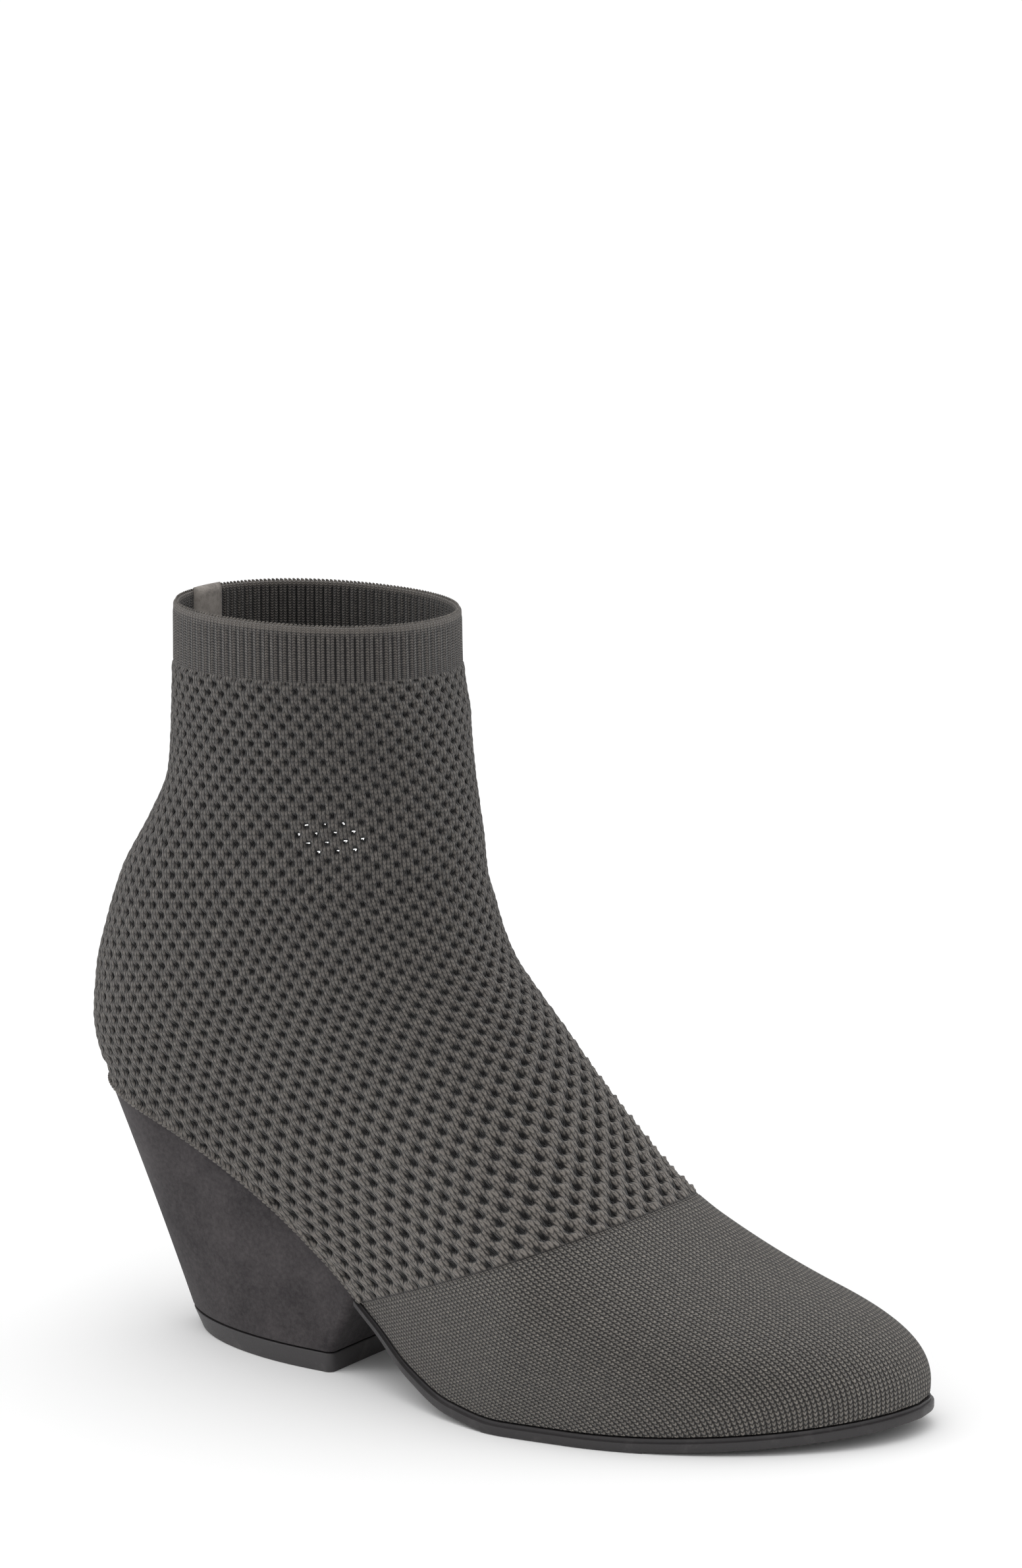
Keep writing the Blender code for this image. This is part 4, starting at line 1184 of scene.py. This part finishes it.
@dataclass
class Studio:
    """Pale floor, soft light and the camera at the photo's angle."""

    last: Last
    azimuth: float = math.radians(33.5)
    elevation: float = math.radians(13.4)
    distance: float = 1.4344
    target: tuple[float, float, float] = (0.1288, 0.0, 0.1081)
    focal_pixels: float = 8200.0
    axis_pixel: tuple[float, float] = (780.0, 1499.0)
    picture: tuple[int, int] = (1552, 2380)
    sensor: float = 36.0
    side_light: float = 0.55
    top_light: float = 1.38
    stretched_middle: tuple[float, float] = (-0.0488, 0.0398)
    stretched_reach: tuple[float, float] = (0.0112, 0.0044)
    open_spacing: float = 0.0015

    def axes(self) -> tuple[Vector, Vector, Vector]:
        """The camera's right, up and backward directions."""
        a, e = self.azimuth, self.elevation
        back = Vector((math.sin(a) * math.cos(e), -math.cos(a) * math.cos(e), math.sin(e)))
        right = Vector((math.cos(a), math.sin(a), 0.0))
        return right, back.cross(right), back

    def eye(self) -> Vector:
        """The camera's place."""
        return Vector(self.target) + Vector(self.last.origin) + self.axes()[2] * self.distance

    def open_lines(self, grid: np.ndarray, normals: np.ndarray, pit: np.ndarray) -> np.ndarray:
        """Sight lines through the near wall's pits where the knit is stretched open.

        Args:
            grid: Points of the mesh knit, in the frame.
            normals: Their normals.
            pit: Their pit strengths.

        Returns:
            The near end of each line, one to a row.
        """
        right, up, back = (np.array(axis) for axis in self.axes())
        seen = grid - np.array(self.eye())
        reach = self.distance / -(seen @ back)
        across = (seen @ right * reach - self.stretched_middle[0]) / self.stretched_reach[0]
        high = (seen @ up * reach - self.stretched_middle[1]) / self.stretched_reach[1]
        near = (normals @ back > 0.3) & (across ** 2 + high ** 2 < 1.0) & (pit > 0.9)
        order = np.argsort(-pit[near], kind="stable")
        found: list[np.ndarray] = []
        for point in grid[near][order]:
            if all(np.linalg.norm(point - other) > self.open_spacing for other in found):
                found.append(point)
        return np.array(found)

    def along_lines(self, grid: np.ndarray, lines: np.ndarray, size: tuple[float, float]
                    ) -> np.ndarray:
        """Which spaces of a grid a sight line passes through.

        Args:
            grid: Points, in the frame.
            lines: Near end of each line.
            size: Half width and half height of an opening.

        Returns:
            For each space between points, whether it is open.
        """
        middle = (grid[:-1, :-1] + grid[1:, :-1] + grid[1:, 1:] + grid[:-1, 1:]) / 4
        eye = np.array(self.eye())
        right, up, _ = (np.array(axis) for axis in self.axes())
        gone = np.zeros(middle.shape[:2], dtype=bool)
        for point in lines:
            way = (point - eye) / np.linalg.norm(point - eye)
            off = (middle - eye) - ((middle - eye) @ way)[..., None] * way
            gone |= (off @ right / size[0]) ** 2 + (off @ up / size[1]) ** 2 < 1.0
        return gone

    def camera(self) -> None:
        """Aim the camera level with the photo's, its lens shifted to the photo's framing."""
        right, up, back = self.axes()
        long_side = max(self.picture)
        data = bpy.data.cameras.new("camera")
        data.sensor_width = self.sensor
        data.lens = self.sensor * self.focal_pixels / long_side
        data.shift_x = (self.picture[0] / 2 - self.axis_pixel[0]) / long_side
        data.shift_y = (self.axis_pixel[1] - self.picture[1] / 2) / long_side
        camera = bpy.data.objects.new("camera", data)
        turn = Matrix((right, up, back)).transposed()
        camera.matrix_world = Matrix.Translation(self.eye()) @ turn.to_4x4()
        bpy.context.scene.collection.objects.link(camera)
        bpy.context.scene.camera = camera

    def floor(self) -> None:
        """A wide pale floor."""
        mesh = bpy.data.meshes.new("floor")
        shape = bmesh.new()
        bmesh.ops.create_grid(shape, x_segments=1, y_segments=1, size=30.0)
        shape.to_mesh(mesh)
        shape.free()
        floor = bpy.data.objects.new("floor", mesh)
        bpy.context.scene.collection.objects.link(floor)
        g = Graph("pale_floor")
        mesh.materials.append(g.finish(Base_Color=(0.93, 0.93, 0.93, 1.0), Roughness=0.9,
                                       Specular_IOR_Level=0.1))

    def light(self, name: str, place: tuple[float, float, float], size: float, power: float) -> None:
        """A square soft light aimed at the boot.

        Args:
            name: Name of the light.
            place: Where it hangs.
            size: Side of the square.
            power: Watts.
        """
        data = bpy.data.lights.new(name, "AREA")
        data.shape = "SQUARE"
        data.size = size
        data.energy = power
        lamp = bpy.data.objects.new(name, data)
        lamp.location = place
        aim = Vector((0.0, 0.0, 0.08)) - Vector(place)
        lamp.rotation_euler = aim.to_track_quat("-Z", "Y").to_euler()
        bpy.context.scene.collection.objects.link(lamp)

    def sky(self) -> None:
        """Soft white surroundings, brighter overhead than at the sides."""
        world = bpy.data.worlds.new("studio")
        world.use_nodes = True
        nodes, links = world.node_tree.nodes, world.node_tree.links
        place = nodes.new("ShaderNodeTexCoord")
        split = nodes.new("ShaderNodeSeparateXYZ")
        rise = nodes.new("ShaderNodeMapRange")
        rise.inputs["To Min"].default_value = self.side_light
        rise.inputs["To Max"].default_value = self.top_light
        links.new(place.outputs["Generated"], split.inputs[0])
        links.new(split.outputs[2], rise.inputs[0])
        links.new(rise.outputs[0], nodes["Background"].inputs[1])
        nodes["Background"].inputs[0].default_value = (1.0, 1.0, 1.0, 1.0)
        bpy.context.scene.world = world
        bpy.context.scene.view_settings.view_transform = "Standard"

    def build(self) -> None:
        """Camera, floor, surroundings and lights."""
        self.camera()
        self.floor()
        self.sky()
        self.light("overhead", (0.10, -0.35, 1.3), 0.9, 1.6)
        self.light("front_left", (-1.1, -1.1, 0.9), 0.7, 3.2)


MESH_KNIT = KnitFinish("mesh_knit", srgb(79, 76, 74), srgb(130, 124, 118), srgb(14, 12, 12),
                       unevenness=0.6)
PLAIN_KNIT = KnitFinish("plain_knit", srgb(117, 112, 107), srgb(165, 158, 149), srgb(11, 9, 9),
                        bump=0.0009, wale_power=1.3, loop_power=1.2, full_at=0.70)
RIB_KNIT = KnitFinish("rib_knit", srgb(86, 82, 80), srgb(120, 114, 108), srgb(14, 12, 12),
                      loop_power=0.9, unevenness=0.15, shade=0.1)
INNER_KNIT = KnitFinish("inner_knit", srgb(78, 73, 71), srgb(108, 100, 94), srgb(12, 11, 11))
EDGE_YARN = YarnFinish("edge_yarn", srgb(70, 67, 65), srgb(112, 107, 101))
HEEL_SUEDE = SuedeFinish("heel_suede", srgb(46, 43, 45), srgb(74, 70, 71))
TAPE_SUEDE = SuedeFinish("tape_suede", srgb(88, 83, 80), srgb(150, 144, 138))
TIP_RUBBER = MouldedFinish("tip_rubber", srgb(62, 60, 61), srgb(92, 90, 89))
SOLE_EDGE = MouldedFinish("sole_edge", srgb(50, 48, 49), srgb(76, 73, 73), roughness=0.42)
INSOLE_CLOTH = SuedeFinish("insole_cloth", srgb(46, 43, 43), srgb(58, 54, 53))


class Feather:
    """The line where knit, sole and heel meet, from toe tip to the heel's back."""

    def __init__(self, courses: CourseField, count: int = 300) -> None:
        """Read the line from the form's own fine grid."""
        closed = courses.steps <= courses.last.closed_from
        self.outer, self.inner = (even_points(courses.points[closed, column], count)
                                  for column in (0, -1))

    def height(self, x: np.ndarray) -> np.ndarray:
        """Height of the line above the ground at any x."""
        return np.interp(x, self.outer[::-1, 0], self.outer[::-1, 2])

    def cut(self, x: float, behind: bool) -> list[np.ndarray]:
        """Both sides of the plan on one side of a line across the foot.

        Args:
            x: Place of the line.
            behind: Whether the part behind it is wanted, else the part in front.

        Returns:
            The outer and the inner side, toe first.
        """
        sides = []
        for side in (self.outer[:, :2], self.inner[:, :2]):
            across = [x, np.interp(x, side[::-1, 0], side[::-1, 1])]
            if behind:
                sides.append(np.vstack([across, side[side[:, 0] < x]]))
            else:
                sides.append(np.vstack([side[side[:, 0] > x], across]))
        return sides


def offset_plan(sides: list[np.ndarray], distance: float) -> list[np.ndarray]:
    """Both sides of a plan moved outward.

    Args:
        sides: Outer and inner side, toe first.
        distance: How far, negative for inward.

    Returns:
        The moved sides.
    """
    loop = np.concatenate([sides[0][::-1], sides[1]])
    keep = np.concatenate([[True], np.linalg.norm(np.diff(loop, axis=0), axis=1) > 1e-7])
    thin = loop[keep]
    tangent = np.gradient(thin, axis=0)
    tangent /= np.maximum(np.linalg.norm(tangent, axis=1, keepdims=True), 1e-12)
    moved_thin = thin + np.stack([tangent[:, 1], -tangent[:, 0]], axis=1) * distance
    moved = moved_thin[np.cumsum(keep) - 1]
    half = len(sides[0])
    return [moved[:half][::-1], moved[half:]]


def stacked_object(name: str, levels: list[np.ndarray], sharp: float = 35.0) -> bpy.types.Object:
    """A closed piece between stacked outlines.

    Args:
        name: Name of the piece.
        levels: Outlines of one length: one side, then the other side backwards.
        sharp: Degrees between faces that shade as an edge.

    Returns:
        The new object.
    """
    points = np.concatenate(levels)
    width = len(levels[0])
    faces = []
    for level in range(len(levels) - 1):
        low = level * width + np.arange(width)
        right = level * width + (np.arange(width) + 1) % width
        faces += np.stack([low, right, right + width, low + width], axis=1).tolist()
    for base in (0, (len(levels) - 1) * width):
        for k in range(width // 2 - 1):
            faces.append([base + k, base + k + 1, base + width - 2 - k, base + width - 1 - k])
    mesh = bpy.data.meshes.new(name)
    mesh.from_pydata([tuple(point) for point in points], [], faces)
    work = bmesh.new()
    work.from_mesh(mesh)
    bmesh.ops.remove_doubles(work, verts=work.verts, dist=1e-6)
    bmesh.ops.recalc_face_normals(work, faces=work.faces)
    work.to_mesh(mesh)
    work.free()
    mesh.shade_smooth()
    mesh.set_sharp_from_angle(angle=math.radians(sharp))
    piece = bpy.data.objects.new(name, mesh)
    bpy.context.scene.collection.objects.link(piece)
    return piece


@dataclass
class Bottom:
    """Thin sole, covered block heel and rubber tip, on the solids' own outlines."""

    last: Last
    feather: Feather
    seat_gap: float = 0.00045
    gap: float = 0.0003
    sole_thickness: float = 0.0036
    shank_thickness: float = 0.0022
    sole_groove: float = 0.0009
    edge_round: float = 0.0006
    flat_tolerance: float = 0.0003
    tip_thickness: float = 0.0053
    tip_length: float = 0.0626
    tip_rake: float = 0.0034
    tip_width: float = 0.0495
    tip_breast: float = 0.352
    tip_straight: float = 0.14
    tip_oval: float = 1.14
    tip_worn: float = 0.0004
    seat_breast: float = 0.39
    corner: float = 0.0022
    corner_points: int = 9
    side_points: int = 64
    heel_levels: int = 40
    hollow: float = 0.0003
    heel_edge: float = 0.0007

    def ladder(self, sides: list[np.ndarray], heights: np.ndarray) -> np.ndarray:
        """One outline in the frame: outer side, then the inner side backwards."""
        plan = np.concatenate([sides[0], sides[1][::-1]])
        return np.column_stack([plan, heights]) + self.last.origin

    def dress(self, piece: bpy.types.Object, node: str, slot: Slot,
              material: bpy.types.Material) -> None:
        """Let a piece stand for a solid."""
        piece.data.materials.append(material)
        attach(piece, BODY)
        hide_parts(node)
        LOG.info("%s: %d faces", piece.name, len(piece.data.polygons))

    def sole_depth(self, x: np.ndarray) -> np.ndarray:
        """Sole thickness: full under ball and toe, thin at the shank."""
        share = smooth(self.seat_breast * self.last.length, SECTIONS[2].along * self.last.length, x)
        return blend(self.shank_thickness, self.sole_thickness, share)

    def build_sole(self, material: bpy.types.Material) -> None:
        """The sole with its soft lower edge and the dark step under the knit."""
        end = self.seat_breast * self.last.length + 2 * self.gap
        ledge = self.last.sole_ledge
        profile = ((0.0, ledge - self.edge_round), (0.03, ledge - self.edge_round * 0.5),
                   (0.09, ledge - self.edge_round * 0.15), (0.16, ledge), (0.62, ledge),
                   (0.69, ledge - 0.00010), (0.72, ledge - 0.00035),
                   (0.74, ledge - self.sole_groove), (1.0, ledge - self.sole_groove))
        levels = []
        for share, distance in profile:
            sides = offset_plan(self.feather.cut(end, behind=False), distance)
            for side in sides:
                side[-1, 0] = end
            plan = np.concatenate([sides[0], sides[1][::-1]])
            top = self.feather.height(plan[:, 0]) - self.seat_gap
            low = top - self.sole_depth(plan[:, 0])
            low = np.where(low < self.flat_tolerance, 0.0, low)
            levels.append(self.ladder(sides, blend(low, top, share)))
        self.dress(stacked_object("sole", levels), "outsole", Slot.SOLE, material)

    def heel_side(self, side: np.ndarray, sign: float) -> np.ndarray:
        """One side of a heel outline from breast to back, its front corner rounded."""
        breast = side[0, 0]
        arc_end = breast - self.corner
        edge = float(np.interp(arc_end, side[::-1, 0], side[::-1, 1]))
        turn = np.linspace(0.0, math.pi / 2, self.corner_points)
        arc = np.column_stack([breast - self.corner * (1 - np.cos(turn)),
                               edge - sign * self.corner * (1 - np.sin(turn))])
        behind = np.vstack([arc[-1], side[side[:, 0] < arc_end]])
        return np.vstack([arc[:-1], even_points(behind, self.side_points)])

    def tip_plan(self, length: float) -> list[np.ndarray]:
        """Heel outline at the tip: straight at the breast, closing in an oval at the back."""
        breast = self.tip_breast * self.last.length
        straight = self.tip_straight * length
        turn = np.linspace(0.0, math.pi / 2, 160)
        sides = []
        for sign in (-1.0, 1.0):
            x = breast - straight - (length - straight) * np.sin(turn)
            y = sign * self.tip_width / 2 * np.cos(turn) ** self.tip_oval
            side = np.vstack([[breast, sign * self.tip_width / 2], np.column_stack([x, y])])
            sides.append(self.heel_side(side, sign))
        return sides

    def build_heel(self, material: bpy.types.Material) -> None:
        """The covered heel, its cover turned softly under at the tip."""
        seat = [self.heel_side(side, sign) for side, sign in
                zip(self.feather.cut(self.seat_breast * self.last.length, behind=True), (-1.0, 1.0))]
        foot = self.tip_plan(self.tip_length)
        top = self.feather.height(np.concatenate([seat[0], seat[1][::-1]])[:, 0]) - self.seat_gap
        low = self.tip_thickness + self.gap
        shares = np.concatenate([[0.0, 0.003, 0.008], np.linspace(0.016, 1.0, self.heel_levels)])
        levels = []
        for share in shares:
            plan = [blend(a, b, share) for a, b in zip(foot, seat)]
            turned = self.heel_edge * (1.0 - min(1.0, share / 0.016)) ** 2
            sides = offset_plan(plan, -self.hollow * 4 * share * (1 - share) - turned)
            for side, plain in zip(sides, plan):
                side[:self.corner_points, 0] = plain[:self.corner_points, 0] - turned
            levels.append(self.ladder(sides, blend(low, top, share)))
        self.dress(stacked_object("covered_heel", levels), "heel_block", Slot.SUEDE, material)

    def build_tip(self, material: bpy.types.Material) -> None:
        """The rubber tip, raked at the back, its lower edge a little worn."""
        worn = self.tip_worn
        levels = []
        for height, inset in ((0.0, worn), (worn * 0.3, worn * 0.3), (worn, 0.0),
                              (self.tip_thickness * 0.5, 0.0), (self.tip_thickness - 0.0002, 0.0),
                              (self.tip_thickness, 0.0002)):
            length = self.tip_length - self.tip_rake * (1.0 - height / self.tip_thickness)
            sides = offset_plan(self.tip_plan(length), -inset)
            heights = np.full(len(sides[0]) + len(sides[1]), height)
            levels.append(self.ladder(sides, heights))
        self.dress(stacked_object("rubber_tip", levels), "heel_tip", Slot.RUBBER, material)

    def build(self) -> None:
        """Build sole, heel and tip."""
        self.build_sole(SOLE_EDGE.material())
        self.build_heel(HEEL_SUEDE.material())
        self.build_tip(TIP_RUBBER.material())


@dataclass
class Tape:
    """Padded facing tape down the inside of the back, its top standing just above the rim."""

    last: Last
    courses: CourseField
    width: float = 0.0125
    drop: float = 0.0600
    thickness: float = 0.0021
    off_wall: float = 0.0019
    above_rim: float = 0.0010
    rows: int = 60
    points: int = 27

    def build(self, material: bpy.types.Material) -> None:
        """Build the tape and let it stand for its solid."""
        grid = self.courses.points[self.courses.steps >= self.last.closed_from + 2]
        normals = grid_normals(grid)
        spread = self.last.columns // 8
        order = np.concatenate([np.arange(-spread - 1, -1), np.arange(0, spread + 1)])
        across = np.linspace(-self.width / 2, self.width / 2, self.points)
        round_side = (1.0 - np.abs(2 * across / self.width) ** 3.0) ** 0.5
        top = grid[-1, 0, 2] + self.above_rim
        heights = top - self.drop * np.linspace(0.0, 1.0, self.rows) ** 1.5
        levels = []
        for height in heights:
            low = min(int(np.searchsorted(grid[:, 0, 2], height)), len(grid) - 1)
            line, lean = grid[low, order], normals[low, order]
            line = line + np.array((0.0, 0.0, height)) - np.array((0.0, 0.0, grid[low, 0, 2]))
            travel = np.concatenate([[0.0], np.cumsum(np.linalg.norm(np.diff(line, axis=0), axis=1))])
            travel = travel - travel[spread]
            place = np.stack([np.interp(across, travel, line[:, k]) for k in range(3)], axis=1)
            lean = np.stack([np.interp(across, travel, lean[:, k]) for k in range(3)], axis=1)
            rounded = end_round(max(0.0, 1.0 - (top - height) / 0.0022), 2.0)
            swell = self.thickness * max(0.06, rounded) * round_side
            back = place - lean * self.off_wall
            front = back - lean * (0.0002 + swell)[:, None]
            levels.append(np.concatenate([front, back[::-1]]) + self.last.origin)
        piece = stacked_object("facing_tape", levels, sharp=60.0)
        piece.data.materials.append(material)
        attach(piece, BODY)
        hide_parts("back_tape")
        LOG.info("%s: %d faces", piece.name, len(piece.data.polygons))


def dress_insole() -> None:
    """Give the insole, which stays as the solid, its cloth."""
    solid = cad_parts["insole"]
    solid.data.materials.clear()
    solid.data.materials.append(INSOLE_CLOTH.material())
    LOG.info("insole: dressed")


def main() -> None:
    """Build the boot's pieces in order, then the studio."""
    logging.basicConfig(level=logging.INFO, format="%(name)s: %(message)s")
    last = Last()
    courses = CourseField(last)
    LOG.info("courses: rib %.4f toe %.4f tip %.4f", courses.rib_course, courses.toe_course,
             courses.tip_course)
    studio = Studio(last)
    Sock(last, courses, studio).build()
    Bottom(last, Feather(courses)).build()
    Tape(last, courses).build(TAPE_SUEDE.material())
    dress_insole()
    studio.build()


if __name__ == "__main__":
    main()
